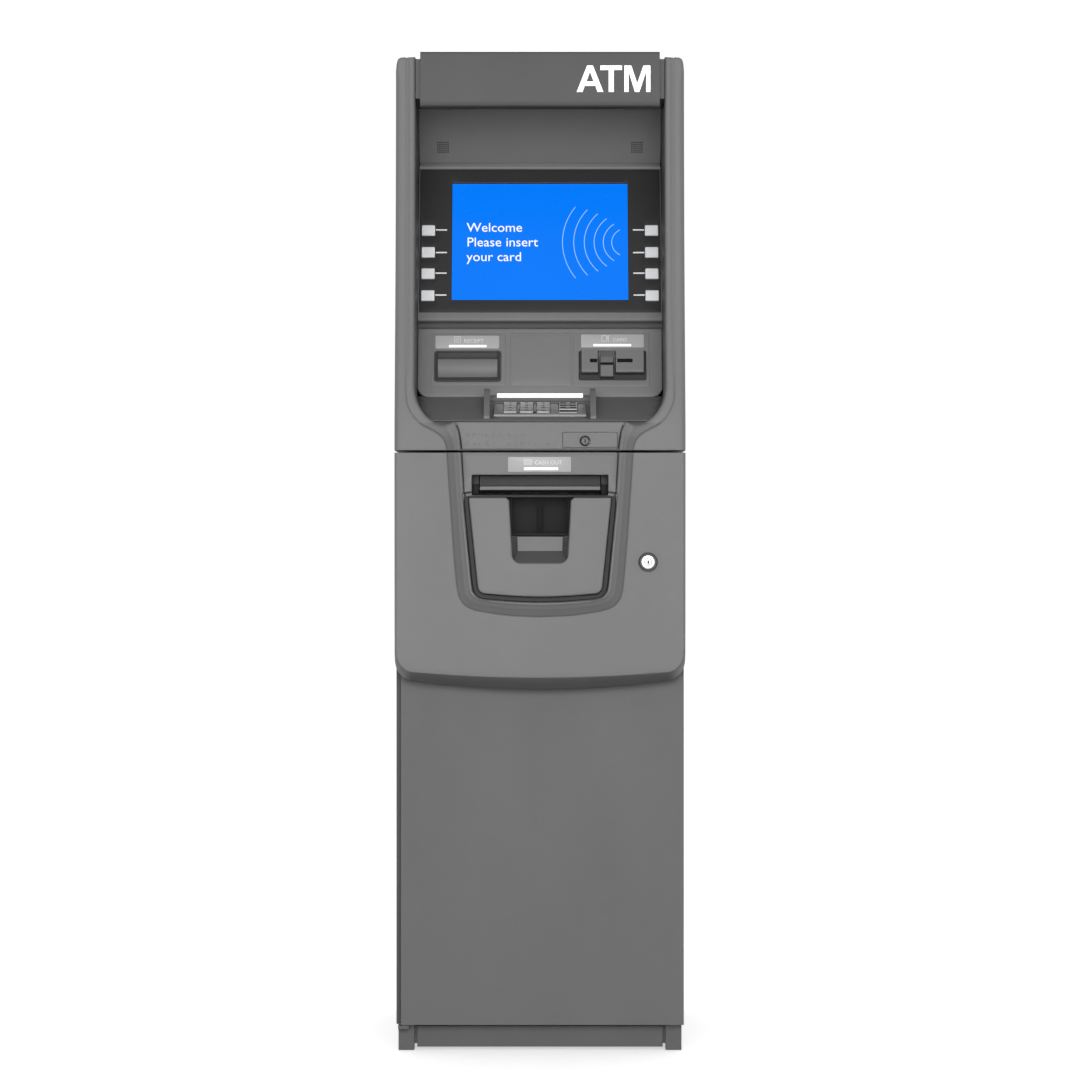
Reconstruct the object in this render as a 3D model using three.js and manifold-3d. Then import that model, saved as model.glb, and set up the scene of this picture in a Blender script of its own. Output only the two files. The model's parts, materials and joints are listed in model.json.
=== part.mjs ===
// Free-standing retail cash machine: a steel safe on a plinth, a sheet-metal upper cabinet,
// a swinging customer fascia with screen, keypad, receipt printer and card reader, and a swinging
// dispenser fascia with cash mouth carried on the safe door.
// Units are millimetres, +Z up, the customer stands on the -Y side.
// The origin is on the floor under the centre of the machine's footprint.
import * as THREE from "three";
import { mergeVertices } from "three/addons/utils/BufferGeometryUtils.js";
import Module from "manifold-3d";
const wasm = await Module();
wasm.setup();

// ---------- driving dimensions ----------
const WIDTH = 400, DEPTH = 580, HEIGHT = 1386.6;
const HW = WIDTH / 2;
const Y = (d) => d - DEPTH / 2; // d is the distance behind the frontmost plane
const SEAM_LO = 830, SEAM_HI = 833; // gap between the two fascias
const SAFE_TOP = 820, SAFE_Z0 = 36.5, SAFE_D0 = 86, SAFE_D1 = 576, SAFE_W = 199.8, SAFE_T = 6;
const DOOR_D0 = 70, DOOR_D1 = 84, DOOR_Z0 = 37, DOOR_Z1 = 821;
const SPLIT = 230, CAB_D0 = 235, CAB_D1 = 577, CAB_Z0 = 823.5, CAB_Z1 = 1378;
const RECESS = 173; // half width between the cheeks
const SHELF_A = [14, 872], SHELF_B = [140, 910]; // keypad shelf line, [d, z]
const PAD_AT = [13.47, 873.96], PAD_TILT = (12.3 * Math.PI) / 180; // keypad plane, a little flatter than the shelf
const TILT = (20 * Math.PI) / 180;
const SHELF_TILT = Math.atan2(SHELF_B[1] - SHELF_A[1], SHELF_B[0] - SHELF_A[0]);
const PANEL_AT = [140, 910.6], SCREEN_AT = [168, 1020.6], SPEAKER_AT = [250, 1249], SPEAKER_TILT = (22.5 * Math.PI) / 180;
const FKEY_TRAVEL = 1.5, KEY_TRAVEL = 2;

// ---------- solids ----------
function solid(geometry) {
  const g = geometry.clone();
  g.deleteAttribute("normal");
  g.deleteAttribute("uv");
  const m = mergeVertices(g, 1e-4);
  return new wasm.Manifold(new wasm.Mesh({
    numProp: 3,
    vertProperties: new Float32Array(m.attributes.position.array),
    triVerts: new Uint32Array(m.index.array),
  }));
}
function geometryOf(man) {
  const m = man.getMesh(), n = m.numProp, v = new Float32Array(m.numVert * 3);
  for (let i = 0; i < m.numVert; i++) v.set(m.vertProperties.subarray(i * n, i * n + 3), i * 3);
  return new THREE.BufferGeometry().setAttribute("position", new THREE.BufferAttribute(v, 3)).setIndex(new THREE.BufferAttribute(new Uint32Array(m.triVerts), 1));
}
const box = (x0, x1, d0, d1, z0, z1) => solid(new THREE.BoxGeometry(x1 - x0, d1 - d0, z1 - z0).translate((x0 + x1) / 2, Y((d0 + d1) / 2), (z0 + z1) / 2));
const lbox = (x0, x1, y0, y1, z0, z1) => solid(new THREE.BoxGeometry(x1 - x0, y1 - y0, z1 - z0).translate((x0 + x1) / 2, (y0 + y1) / 2, (z0 + z1) / 2));
function extrude(points, depth) {
  const shape = new THREE.Shape(points.map((p) => new THREE.Vector2(p[0], p[1])));
  return new THREE.ExtrudeGeometry(shape, { depth, bevelEnabled: false, steps: 1 });
}
// profile [[d, z], ...] pulled along X
const prismX = (points, x0, x1) => solid(extrude(points.map(([d, z]) => [Y(d), z]), x1 - x0).applyMatrix4(new THREE.Matrix4().set(0, 0, 1, x0, 1, 0, 0, 0, 0, 1, 0, 0, 0, 0, 0, 1)));
// outline [[x, z], ...] pulled along Y from depth d0 to d1
const prismY = (points, d0, d1) => solid(extrude(points, d1 - d0).applyMatrix4(new THREE.Matrix4().set(1, 0, 0, 0, 0, 0, -1, Y(d1), 0, 1, 0, 0, 0, 0, 0, 1)));
// local outline [[x, z], ...] pulled along local y
const lprismY = (points, y0, y1) => solid(extrude(points, y1 - y0).applyMatrix4(new THREE.Matrix4().set(1, 0, 0, 0, 0, 0, -1, y1, 0, 1, 0, 0, 0, 0, 0, 1)));
// local profile [[y, z], ...] pulled along x
const lprismX = (points, x0, x1) => solid(extrude(points, x1 - x0).applyMatrix4(new THREE.Matrix4().set(0, 0, 1, x0, 1, 0, 0, 0, 0, 1, 0, 0, 0, 0, 0, 1)));
const rodZ = (x, d, r, z0, z1, n = 16) => solid(new THREE.CylinderGeometry(r, r, z1 - z0, n).rotateX(Math.PI / 2).translate(x, Y(d), (z0 + z1) / 2));
const rodY = (x, z, r, d0, d1, n = 20) => solid(new THREE.CylinderGeometry(r, r, d1 - d0, n).translate(x, Y((d0 + d1) / 2), z));
const rodX = (d, z, r, x0, x1, n = 20) => solid(new THREE.CylinderGeometry(r, r, x1 - x0, n).rotateZ(Math.PI / 2).translate((x0 + x1) / 2, Y(d), z));
const join = (...s) => s.flat().reduce((a, b) => a.add(b));
const cut = (a, ...s) => s.flat().reduce((x, b) => x.subtract(b), a);
// rounded outline from corner points [x, z, radius]
function rounded(corners, seg = 5) {
  const out = [], n = corners.length;
  for (let i = 0; i < n; i++) {
    const [x, z, r = 0] = corners[i], p = corners[(i + n - 1) % n], q = corners[(i + 1) % n];
    if (!r) { out.push([x, z]); continue; }
    const a = new THREE.Vector2(p[0] - x, p[1] - z).normalize(), b = new THREE.Vector2(q[0] - x, q[1] - z).normalize();
    const half = Math.acos(Math.max(-1, Math.min(1, a.dot(b)))) / 2, t = r / Math.tan(half);
    const s = new THREE.Vector2(x, z).addScaledVector(a, t), e = new THREE.Vector2(x, z).addScaledVector(b, t);
    const c = new THREE.Vector2(x, z).addScaledVector(a.clone().add(b).normalize(), r / Math.sin(half));
    let a0 = Math.atan2(s.y - c.y, s.x - c.x), a1 = Math.atan2(e.y - c.y, e.x - c.x), d = a1 - a0;
    while (d > Math.PI) d -= 2 * Math.PI;
    while (d < -Math.PI) d += 2 * Math.PI;
    for (let k = 0; k <= seg; k++) out.push([c.x + r * Math.cos(a0 + (d * k) / seg), c.y + r * Math.sin(a0 + (d * k) / seg)]);
  }
  return out;
}
const rect = (x0, x1, z0, z1, r = 0, seg = 4) => rounded([[x0, z0, r], [x1, z0, r], [x1, z1, r], [x0, z1, r]], seg);
// grows an outline by w along its normals
function grow(points, w) {
  const n = points.length;
  let area = 0;
  for (let i = 0; i < n; i++) area += points[i][0] * points[(i + 1) % n][1] - points[(i + 1) % n][0] * points[i][1];
  const s = Math.sign(area);
  return points.map((p, i) => {
    const a = points[(i + n - 1) % n], b = points[(i + 1) % n];
    const e = new THREE.Vector2(p[0] - a[0], p[1] - a[1]).normalize(), f = new THREE.Vector2(b[0] - p[0], b[1] - p[1]).normalize();
    const m = new THREE.Vector2((e.y + f.y) * s, -(e.x + f.x) * s).normalize();
    const k = Math.max(0.5, m.dot(new THREE.Vector2(e.y * s, -e.x * s)));
    return [p[0] + (m.x * w) / k, p[1] + (m.y * w) / k];
  });
}
const mirrorX = (pts) => [...pts, ...pts.map(([x, z]) => [-x, z]).reverse()];

// ---------- scene graph ----------
const atm = new THREE.Group();
const group = (parent, name) => { const g = new THREE.Group(); g.name = name; parent.add(g); return g; };
const cabinet = group(atm, "cabinet_group"), upperDoor = group(atm, "upper_door_group"), safeDoor = group(atm, "safe_door_group"), lowerDoor = group(safeDoor, "lower_door_group");
function tilted(parent, [d, z], angle) { const g = new THREE.Group(); g.position.set(0, Y(d), z); g.rotation.x = angle; parent.add(g); return g; }
const panelFrame = tilted(upperDoor, PANEL_AT, -TILT), screenFrame = tilted(upperDoor, SCREEN_AT, -TILT);
const speakerFrame = tilted(upperDoor, SPEAKER_AT, SPEAKER_TILT), shelfFrame = tilted(upperDoor, SHELF_A, SHELF_TILT), padFrame = tilted(upperDoor, PAD_AT, PAD_TILT);
const paint = (color, roughness = 0.5, metalness = 0) => new THREE.MeshStandardMaterial({ color, roughness, metalness });
const GREY = () => paint(0x6d6f70, 0.5), STEEL_GREY = () => paint(0x66686a, 0.55, 0.1), BLACK = () => paint(0x1c1c1d, 0.5), STEEL = () => paint(0xa8abad, 0.35, 1), WHITE = () => paint(0xe8eaeb, 0.4), DARK = () => paint(0x3b3b3c, 0.45);
function node(parent, name, man, material) {
  const g = geometryOf(man);
  g.computeBoundingBox();
  const c = g.boundingBox.getCenter(new THREE.Vector3());
  g.translate(-c.x, -c.y, -c.z);
  g.computeVertexNormals();
  const mesh = new THREE.Mesh(g, material);
  mesh.name = name;
  mesh.position.copy(c);
  parent.add(mesh);
  return mesh;
}

// ---------- plinth ----------
const posts = [];
for (const s of [-1, 1]) for (const [a, b] of [[88, 112], [551, 575]]) posts.push(box(Math.min(s * 175, s * 197), Math.max(s * 175, s * 197), a, b, 0, 36));
node(cabinet, "base_frame", join(
  box(-175.5, 175.5, 100, 104, 8, 36), box(-175.5, 175.5, 559, 563, 8, 36),
  box(-197, -185, 111, 552, 8, 36), box(185, 197, 111, 552, 8, 36),
  box(-185.5, -160, 103, 560, 33, 36), box(160, 185.5, 103, 560, 33, 36), posts), STEEL_GREY());
node(cabinet, "kick_plate", box(-171, 171, 93, 95.5, 4, 33), STEEL_GREY());

// ---------- safe ----------
const anchors = [];
for (const x of [-120, 120]) for (const d of [170, 500]) anchors.push(rodZ(x, d, 8, 30, 60, 10));
const SPX = -189, SPD = 78; // safe door pivot
node(cabinet, "safe_body", cut(join(
  cut(box(-SAFE_W, SAFE_W, SAFE_D0, SAFE_D1, SAFE_Z0, SAFE_TOP), box(-SAFE_W + SAFE_T, SAFE_W - SAFE_T, SAFE_D0 + SAFE_T, SAFE_D1 - SAFE_T, SAFE_Z0 + SAFE_T, SAFE_TOP - SAFE_T), box(-180, 180, 80, 100, 56, 802)),
  box(-197, -182, 71, 110, 822, 823.2), box(-197, -182, 87, 110, 819, 823), box(-197, -182, 71, 87.7, 31, 36), box(-197, -182, 86.2, 87.7, 31, 38)),
  rodZ(SPX, SPD, 3.1, 20, 36.4), rodZ(SPX, SPD, 3.1, 821.5, 830), anchors), STEEL_GREY());
node(cabinet, "safe_hinge_pin", rodZ(SPX, SPD, 3, 31.2, 823), STEEL());
node(safeDoor, "safe_door", cut(join(
  cut(box(-193, 199.6, DOOR_D0, DOOR_D1, DOOR_Z0, DOOR_Z1), box(-170, 182, DOOR_D1 - 9, DOOR_D1 + 5, 60, 755)),
  // strike for the dispenser fascia's cam lock
  box(186, 189, 32, 72, 664, 696), box(172, 189, 30, 33, 664, 696),
  // hinge arms for the dispenser fascia
  box(-196.2, -185, 52, 71, 664, 669), box(-196.2, -185, 52, 71, 785, 790),
  // bolt bar guides
  box(136, 166, 74, 92, 300, 312), box(136, 166, 74, 92, 540, 552)),
  rodZ(SPX, SPD, 3.1, 30, 830), rodZ(-192, 58, 3.1, 550, 800),
  box(-96, 96, 60, 90, 767, 807), rodY(100, 600, 6.4, 60, 90, 32)), STEEL_GREY());
const bolts = [200, 425, 650].map((z) => rodX(103, z, 9, 150, 174, 16));
node(safeDoor, "bolt_bar", join(box(138, 162, 96, 110, 150, 700), bolts), STEEL());
node(safeDoor, "safe_handle", join(rodY(100, 600, 6.3, 40, 94, 32), rodY(100, 600, 17, 46, 62, 20), prismY(rect(91, 109, 518, 600, 8), 48, 58)), STEEL());
node(safeDoor, "lock_dial", join(rodY(100, 700, 36, 50, 69.6, 28), rodY(100, 700, 26, 44, 51, 24), box(96, 104, 41, 52, 688, 712)), BLACK());

// ---------- cash dispenser inside the safe ----------
node(cabinet, "cash_dispenser", join(
  box(-140, -134, 130, 550, 452, 790), box(134, 140, 130, 550, 452, 790),
  box(-140, 140, 130, 550, 446, 452.5), box(-140, 140, 130, 550, 612, 618),
  box(-140, 140, 250, 550, 700, 790), box(-134.5, 134.5, 546, 550, 452, 701),
  box(-90, 90, 100, 251, 770, 776), box(-90, 90, 100, 251, 797, 803), box(-90, -86, 100, 251, 775, 798), box(86, 90, 100, 251, 775, 798),
  box(-190, 190, 520, 540, 440, 446.5), box(-190, 190, 160, 180, 440, 446.5), box(-191, -186, 140, 550, 425, 446), box(186, 191, 140, 550, 425, 446)), paint(0x9a9c9e, 0.4, 0.9));
node(cabinet, "cash_cassette", cut(join(box(-118, 118, 150, 520, 456, 600), box(-118, 118, 142, 150.5, 456, 600), box(-45, 45, 134, 143, 560, 566), box(-45, -39, 134, 151, 520, 566), box(39, 45, 134, 151, 520, 566)), box(-100, 100, 330, 500, 585, 610)), BLACK());
node(cabinet, "pick_roller", join(rodX(200, 660, 7, -128, 128, 16), rodX(200, 660, 17, -60, -40, 24), rodX(200, 660, 17, 40, 60, 24), rodX(200, 660, 22, 112, 122, 24)), paint(0x2a2a2b, 0.7));

// ---------- upper cabinet ----------
const CT = 2.5;
node(cabinet, "upper_cabinet", cut(join(
  cut(box(-198, 198, CAB_D0, CAB_D1, CAB_Z0, CAB_Z1), box(-198 + CT, 198 - CT, CAB_D0 - 5, CAB_D1 - CT, CAB_Z0 + CT, CAB_Z1 - CT)),
  // hinge brackets
  box(-197.5, -184, 214, 262, CAB_Z0, 831), box(-196.2, -186, 214, 262, 1360, 1366), box(-196.5, -186, 245, 262, 1358, 1376)),
  box(-150, 150, 570, 590, 900, 1320),
  rodZ(-192, 222, 3.1, 820, 832), rodZ(-192, 222, 3.1, 1350, 1367)), STEEL_GREY());
const vents = [];
for (let i = 0; i < 9; i++) vents.push(box(-110, -10, 570, 590, 1180 + i * 12, 1186 + i * 12));
for (let i = 0; i < 6; i++) vents.push(box(20, 110, 570, 590, 1198 + i * 14, 1204 + i * 14));
node(cabinet, "rear_panel", cut(box(-165, 165, 577.4, 580, 885, 1335), vents, box(-140, -92, 570, 590, 925, 955)), STEEL_GREY());
node(cabinet, "control_computer", join(box(-150, 110, 380, 556, 828, 960), box(-150, 110, 556, 560, 832, 950), box(-140, -92, 556, 572, 925, 955)), paint(0x8d9092, 0.45, 0.8));
const blades = [];
for (let i = 0; i < 7; i++) {
  const g = new THREE.BoxGeometry(22, 3, 26).rotateZ(0.6).translate(0, 0, 24).rotateY((i * 2 * Math.PI) / 7).translate(65, Y(556), 1236);
  blades.push(solid(g));
}
node(cabinet, "fan_rotor", join(rodY(65, 1236, 16, 546, 566, 20), blades), BLACK());
node(cabinet, "upper_hinge_pin", rodZ(-192, 222, 3, 826, 1368.5), STEEL());

// ---------- dispenser fascia ----------
const lowOutline = [];
{
  const right = [];
  for (let i = 0; i <= 8; i++) { const x = (170 * i) / 8; right.push([x, 504 + 11.5 * (x / 170) ** 2]); }
  right.push([182, 518.5], [190, 523.5], [196, 531], [199, 540], [200, 552], [200, SEAM_LO]);
  lowOutline.push(...right, ...right.slice(1).map(([x, z]) => [-x, z]).reverse());
}
const LP = [[7, SEAM_LO], [12, 524], [26, 504], [66, 498], [66, SEAM_LO]];
const LPI = [[10, SEAM_LO - 3], [15, 525], [28, 507.5], [70, 501], [70, SEAM_LO - 3]];
// ridge around the cash area, and the panel inside it
const ridge = rounded([[-111, 900], [-96.5, 627, 17], [0, 616.5, 500], [96.5, 627, 17], [111, 900]], 5);
const panelOutline = rounded([[-98.5, 768.5], [-85, 636.5, 11], [0, 629.5, 600], [85, 636.5, 11], [98.5, 768.5]], 5);
const ridgeBand = (zTop, zBottom) => cut(prismY(grow(ridge, 15.5), 0.8, 9), prismY(grow(ridge, -1.5), -5, 20), box(-300, 300, -10, 30, zTop, 1200), box(-300, 300, -10, 30, 0, zBottom));
const bib = (zTop, zBottom) => cut(prismY(grow(ridge, -1.4), 0, 9), box(-300, 300, -10, 30, zTop, 1200), box(-300, 300, -10, 30, 0, zBottom));
const U = mirrorX(rounded([[0, 678], [37.5, 678, 13], [42.5, 771]], 4).slice(0).map((p) => p));
const notch = prismY([...U], -5, 34);
const plan = solid(extrude(rounded([[-HW, Y(66)], [-HW, Y(7), 7], [HW, Y(7), 7], [HW, Y(66)]], 4), 400).translate(0, 0, 480));
node(lowerDoor, "lower_fascia", join(
  cut(join(prismX(LP, -HW, HW).intersect(prismY(lowOutline, 0, 80)).intersect(plan.add(box(-107, 107, 0, 10, 480, 880))),
      ridgeBand(SEAM_LO, 500), bib(SEAM_LO, 770)),
    prismX(LPI, -HW + 3, HW - 3).intersect(prismY(grow(lowOutline, -3), 0, 80)),
    // gutter and seat for the cash panel
    prismY(grow(panelOutline, 6.5), -5, 11), prismY(grow(panelOutline, 0.5), -5, 40),
    // cash mouth
    box(-93.5, 93.5, -5, 40, 771.7, 799.2),
    rodY(148.3, 679.8, 9.4, -5, 30, 32), box(-201, -185.5, 50, 70, 661.5, 676), box(-201, -185.5, 50, 70, 782.5, 797)),
  // hinge lugs with their stub pins
  box(-197.2, -186, 50, 64, 670, 674), rodZ(-192, 58, 3, 662.5, 672), box(-197.2, -186, 50, 64, 791, 795), rodZ(-192, 58, 3, 783.5, 793),
  box(-198, -186, 50, 64, 673, 680), box(-198, -186, 50, 64, 794, 802)), GREY());
node(lowerDoor, "cash_panel", cut(join(prismY(panelOutline, 1, 15), prismY(rect(-54, 54, 668, 768), 14, 36)),
  prismY(mirrorX([[0, 679], [34, 679], [37.8, 684], [42.5, 771]]), -5, 30), box(-110, 110, -5, 50, 768.2, 800), box(-47, 47, 20, 50, 719, 780)), GREY());
node(lowerDoor, "note_guide", cut(join(box(-93, 93, 41, 66, 766, 804), box(-46.5, 46.5, 38, 66, 720, 770)), box(-84, 84, 37, 70, 775, 798), box(-38, 38, 30, 60, 712, 776)).add(box(-2.5, 2.5, 45, 62, 719.9, 757)), BLACK());
node(lowerDoor, "cash_shutter", join(box(-83, 83, 26, 28.5, 783.5, 798.4), prismX([[22, 776.5], [27, 774.5], [28.5, 776.5], [28.5, 784], [22, 784]], -83, 83)), GREY());
node(lowerDoor, "lower_lock", join(rodY(148.3, 679.8, 12.2, 2, 7.6, 28), rodY(148.3, 679.8, 9.3, 7, 40, 32), prismY(rect(142, 154.6, 650, 684, 5), 36, 39)), STEEL());

// ---------- customer fascia ----------
const cheek = [[7, SEAM_HI], [9, 872], [17, 920], [28, 980], [42, 1060], [54, 1150], [62, 1250], [66, 1330], [68, 1380]];
const cheekIn = [[10, 836], [12, 872], [20, 920], [31, 980], [45, 1060], [57, 1150], [65, 1250], [69, 1330], [71, 1377]];
const recessOutline = [];
{
  const right = [[118, 869.5], [128, 870.5], [140, 874], [152, 880.5], [162, 889.5], [169, 900.5], [173, 915], [173, 1500]];
  recessOutline.push(...right, ...right.map(([x, z]) => [-x, z]).reverse());
}
const upPlan = solid(extrude(rounded([[-HW, Y(SPLIT)], [-HW, Y(0), 7], [HW, Y(0), 7], [HW, Y(SPLIT)]], 4), 700).translate(0, 0, 800));
const upFront = prismY(rounded([[-HW, 800], [HW, 800], [HW, 1380, 12], [-HW, 1380, 12]], 4), -10, 250);
const aboveShelf = (lift, back) => prismX([[-20, SHELF_A[1] + lift - 10], [SHELF_A[0] - 4, SHELF_A[1] + lift - 1.2], [SHELF_A[0], SHELF_A[1] + lift], [SHELF_B[0], SHELF_B[1] + lift], [back, SHELF_B[1] + lift], [back, 1500], [-20, 1500]], -RECESS, RECESS);
const capRidge = (x) => cut(prismY(grow(recessOutline, 0), 0, 0.1));
const lipOuter = prismX(cheek.map(([d, z]) => [d - 4, z]).concat([[SPLIT, 1380], [SPLIT, SEAM_HI]]), -HW, HW);
const upperCurve = rounded([[-185.5, 1380], [-185.5, 885, 62], [-128, 858, 18], [-110.5 - 15.5 - 1.6, 833]], 6);
const ringRegion = prismY([...upperCurve, ...upperCurve.map(([x, z]) => [-x, z]).reverse()], -5, 80);
const shellOuter = join(prismX(cheek.concat([[SPLIT, 1380], [SPLIT, SEAM_HI]]), -HW, HW), lipOuter.intersect(ringRegion)).intersect(upPlan).intersect(upFront);
const lowerHollow = prismX([[10, 836], [12, 866], [14, 869 - 0.6], [SHELF_B[0] + 2, SHELF_B[1] - 3.4], [SHELF_B[0] + 2, 926], [SPLIT + 5, 926], [SPLIT + 5, 836]], -197, 197);
const cheekHollow = (s) => prismX(cheekIn.concat([[SPLIT + 5, 1377], [SPLIT + 5, 836]]), Math.min(s * 176, s * 197), Math.max(s * 176, s * 197));
const behind = box(-RECESS, RECESS, 141, SPLIT + 5, 905, 1400);
const upperFascia = join(
  cut(shellOuter.add(bib(871, SEAM_HI).translate(0, 0, 0)),
    prismY(recessOutline, -10, 300).intersect(aboveShelf(0, 300)), behind,
    cheekHollow(-1), cheekHollow(1), lowerHollow,
    box(-64.6, 64.6, 38.5, 121, 862, 925),
    prismY(rect(30.5, 106.5, 836.5, 858), -5, 20),
    box(-201, -183, 213, 240, 1355, 1371), rodZ(-192, 222, 3.1, 830, 840)),
  cut(join(box(-198, -175, 214, 228, 840, 850), box(-198, -175, 214, 228, 1338, 1348)), rodZ(-192, 222, 3.1, 830, 1360)),
  // front skin behind the lock plate
  cut(box(28, 109, 11, 14, 834, 860), rodY(61.7, 845.8, 6.3, 0, 30, 32)));
node(upperDoor, "upper_fascia", upperFascia, GREY());
node(upperDoor, "lock_plate", cut(prismY(rect(31, 106, 837, 857.5, 2), 2, 10.6), rodY(61.7, 845.8, 6.3, 0, 30, 32)), GREY());
node(upperDoor, "upper_lock", join(rodY(61.7, 845.8, 6.2, 2.6, 42, 32), prismY(rect(56.5, 85, 840.7, 850.9, 4), 38, 41)), STEEL());

// service panel with its receipt and card modules
node(panelFrame, "service_panel", cut(lprismY(rounded([[-172.6, 0.3, 16], [172.6, 0.3, 16], [172.6, 106], [-172.6, 106]], 5), 0, 3),
  lprismY(rect(-149, -55, 24, 71, 4), -1, 5), lprismY(rect(55, 149.5, 26.5, 71, 3), -1, 5)), GREY());
node(panelFrame, "receipt_printer", join(
  cut(lprismY(rect(-148.6, -55.4, 24.4, 70.6, 4), 0.5, 32), lprismX([[-2, 30], [12, 33], [15, 60.5], [9, 68], [-2, 68]], -144, -60), lbox(-142, -62, 10, 40, 58.5, 63.5)),
  lbox(-152, -50, 32, 150, -4, 46), lbox(-152, -149, 95, 150, 45, 140), lbox(-53, -50, 95, 150, 45, 140),
  lprismX(Array.from({ length: 14 }, (_, i) => [122 + 8 * Math.cos((i * 2 * Math.PI) / 14), 100 + 8 * Math.sin((i * 2 * Math.PI) / 14)]), -151, -51)), paint(0x4a4c4e, 0.5));
{
  // paper roll on the printer's spindle
  const roll = new THREE.LatheGeometry([[12, -40], [38, -40], [38, 40], [12, 40], [12, -40]].map((p) => new THREE.Vector2(...p)), 32).rotateZ(Math.PI / 2).translate(-101, 122, 100);
  node(panelFrame, "paper_roll", solid(roll), WHITE());
}
node(panelFrame, "card_reader", cut(join(
  lprismY(rect(55.4, 149.1, 26.9, 70.6, 3), 0.5, 30), lprismY(rect(56.5, 84, 34, 70), -9, 1), lprismY(rect(104, 148, 34, 70), -9, 1), lprismY(rect(80, 108, 29, 70), -4, 1),
  lbox(62, 146, 29.5, 120, 20, 76)), lbox(70, 130, -12, 60, 49.5, 52), lprismX([[-12, 46.2], [-12, 56.2], [-1, 53.2], [2, 53.2], [2, 48.7], [-1, 48.7]], 70, 130)), GREY());
// keypad shelf
const PAD = [-64, 64, 26, 111];
const cols = [[-41.5, 18], [-18.5, 18], [4.5, 18], [39, 25]], rows = [96, 77.4, 58.8, 40.2], KEY_D = 14.6;
const pockets = [], keys = [];
const names = [["1", "2", "3", "cancel"], ["4", "5", "6", "clear"], ["7", "8", "9", "enter"], ["star", "0", "hash", null]];
rows.forEach((y, r) => cols.forEach(([x, w], c) => {
  if (!names[r][c]) return;
  pockets.push(lbox(x - w / 2 - 0.5, x + w / 2 + 0.5, y - KEY_D / 2 - 0.5, y + KEY_D / 2 + 0.5, 0.6, 9));
  keys.push([`key_${names[r][c]}`, x, y, w]);
}));
node(padFrame, "pin_pad", cut(join(lbox(-59, 59, 30, 98, -22, 1), lprismX([[26, 0.3], [26, 3], [28, 4.6], [106, 4.6], [106, 0.3]], -64, 64), lbox(26.5, 51.5, 33, 47.5, 4, 6.2)), pockets), paint(0x9c9fa1, 0.35, 0.9));
for (const [name, x, y, w] of keys) node(padFrame, name, lprismX([[y - KEY_D / 2, 3], [y + KEY_D / 2, 3], [y + KEY_D / 2, 6.4], [y + KEY_D / 2 - 1, 7.4], [y - KEY_D / 2 + 1, 7.4], [y - KEY_D / 2, 6.4]], x - w / 2, x + w / 2), paint(0xb0b3b5, 0.3, 0.9));
const fin = [[16, 0.3], [18, 4], [34, 11], [56, 17.5], [80, 22], [98, 22], [106, 18.5], [112, 9], [112, 0.3]];
node(shelfFrame, "privacy_shield", join(
  lprismX(fin, -77.6, -69.5), lprismX(fin, 69.5, 77.6), lprismX([[112.5, 0.3], [111.6, 4.7], [128, 4.7], [128, 0.3]], -77.6, 77.6), lbox(-77.6, -69.5, 110, 114, 0.3, 4.6), lbox(69.5, 77.6, 110, 114, 0.3, 4.6)), GREY());
node(shelfFrame, "light_bar", lprismX([[113, 5.0], [112.4, 9.6], [114.5, 11.6], [118, 11.6], [118, 5.0]], -60.5, 60.5), WHITE());

// screen unit
const fkeyZ = [138.8, 104.8, 71.7, 37.9];
const windows = [], fkeys = [];
for (const [side, s] of [["left", -1], ["right", 1]]) fkeyZ.forEach((z, i) => {
  windows.push(lbox(s * 158.7 - 9.9, s * 158.7 + 9.9, -2, 6, z - 8.3, z + 8.3));
  fkeys.push([`function_key_${side}_${i + 1}`, s * 158.7, z]);
});
node(screenFrame, "screen_frame", cut(lprismX([[0, -1.5], [-2, 2], [-2, 238], [0, 240.5], [8, 240.5], [8, -9], [2.5, -9]], -172.6, 172.6), lbox(-171.4, 171.4, -5, 4.4, 11, 234.5), lbox(-169.4, 169.4, 3, 12, 14, 231)), GREY());
node(screenFrame, "display_bezel", cut(lbox(-171, 171, 0.6, 4, 11.4, 234.1), lbox(-125, 125, -2, 6, 31.4, 212.2), windows), DARK());
node(screenFrame, "lcd_panel", lprismY(rect(-134, 134, 22, 222, 0), 4.4, 26), BLACK());
for (const [name, x, z] of fkeys) node(screenFrame, name, join(lbox(x - 9.25, x + 9.25, -0.9, 7, z - 7.75, z + 7.75)), WHITE());
// speaker panel above the screen
const holes = [];
for (const s of [-1, 1]) for (let i = 0; i < 4; i++) for (let j = 0; j < 4; j++) holes.push(lbox(s * 138.7 - 6.6 + i * 4.4 - 1, s * 138.7 - 6.6 + i * 4.4 + 1, -2, 6, 17.8 + j * 4.4 - 1, 17.8 + j * 4.4 + 1));
node(speakerFrame, "speaker_panel", cut(lbox(-172.6, 172.6, 0, 3, 1, 96), holes), GREY());

// sign at the top
node(upperDoor, "sign_housing", join(cut(prismX([[60, 1319], [61, 1314.5], [63.5, 1310.8], [67.5, 1308.8], [72, 1308.5], [217.5, 1323.3], [210.5, 1341], [228, 1345], [228, 1386], [64, HEIGHT], [60, 1384]], -166, 166),
  prismX([[63, 1316], [68, 1311.6], [72, 1311.5], [240, 1328.6], [240, 1383], [67, 1383.4], [63, 1382]], -163, 163), box(-158, 158, 50, 70, 1318, 1380)),
  // side ears that close the gap to the cheeks
  box(165.9, 172.6, 66, 222, 1346, 1377), box(-172.6, -165.9, 66, 222, 1346, 1377), box(165.9, 172.6, 66, 200, 1322, 1348), box(-172.6, -165.9, 66, 200, 1322, 1348)), GREY());
node(upperDoor, "sign_panel", join(box(-157.6, 157.6, 61, 64, 1318.4, 1379.6), box(-161, 161, 63.4, 65, 1316, 1381)), WHITE());

export default atm;
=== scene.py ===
import json
import math

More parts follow.
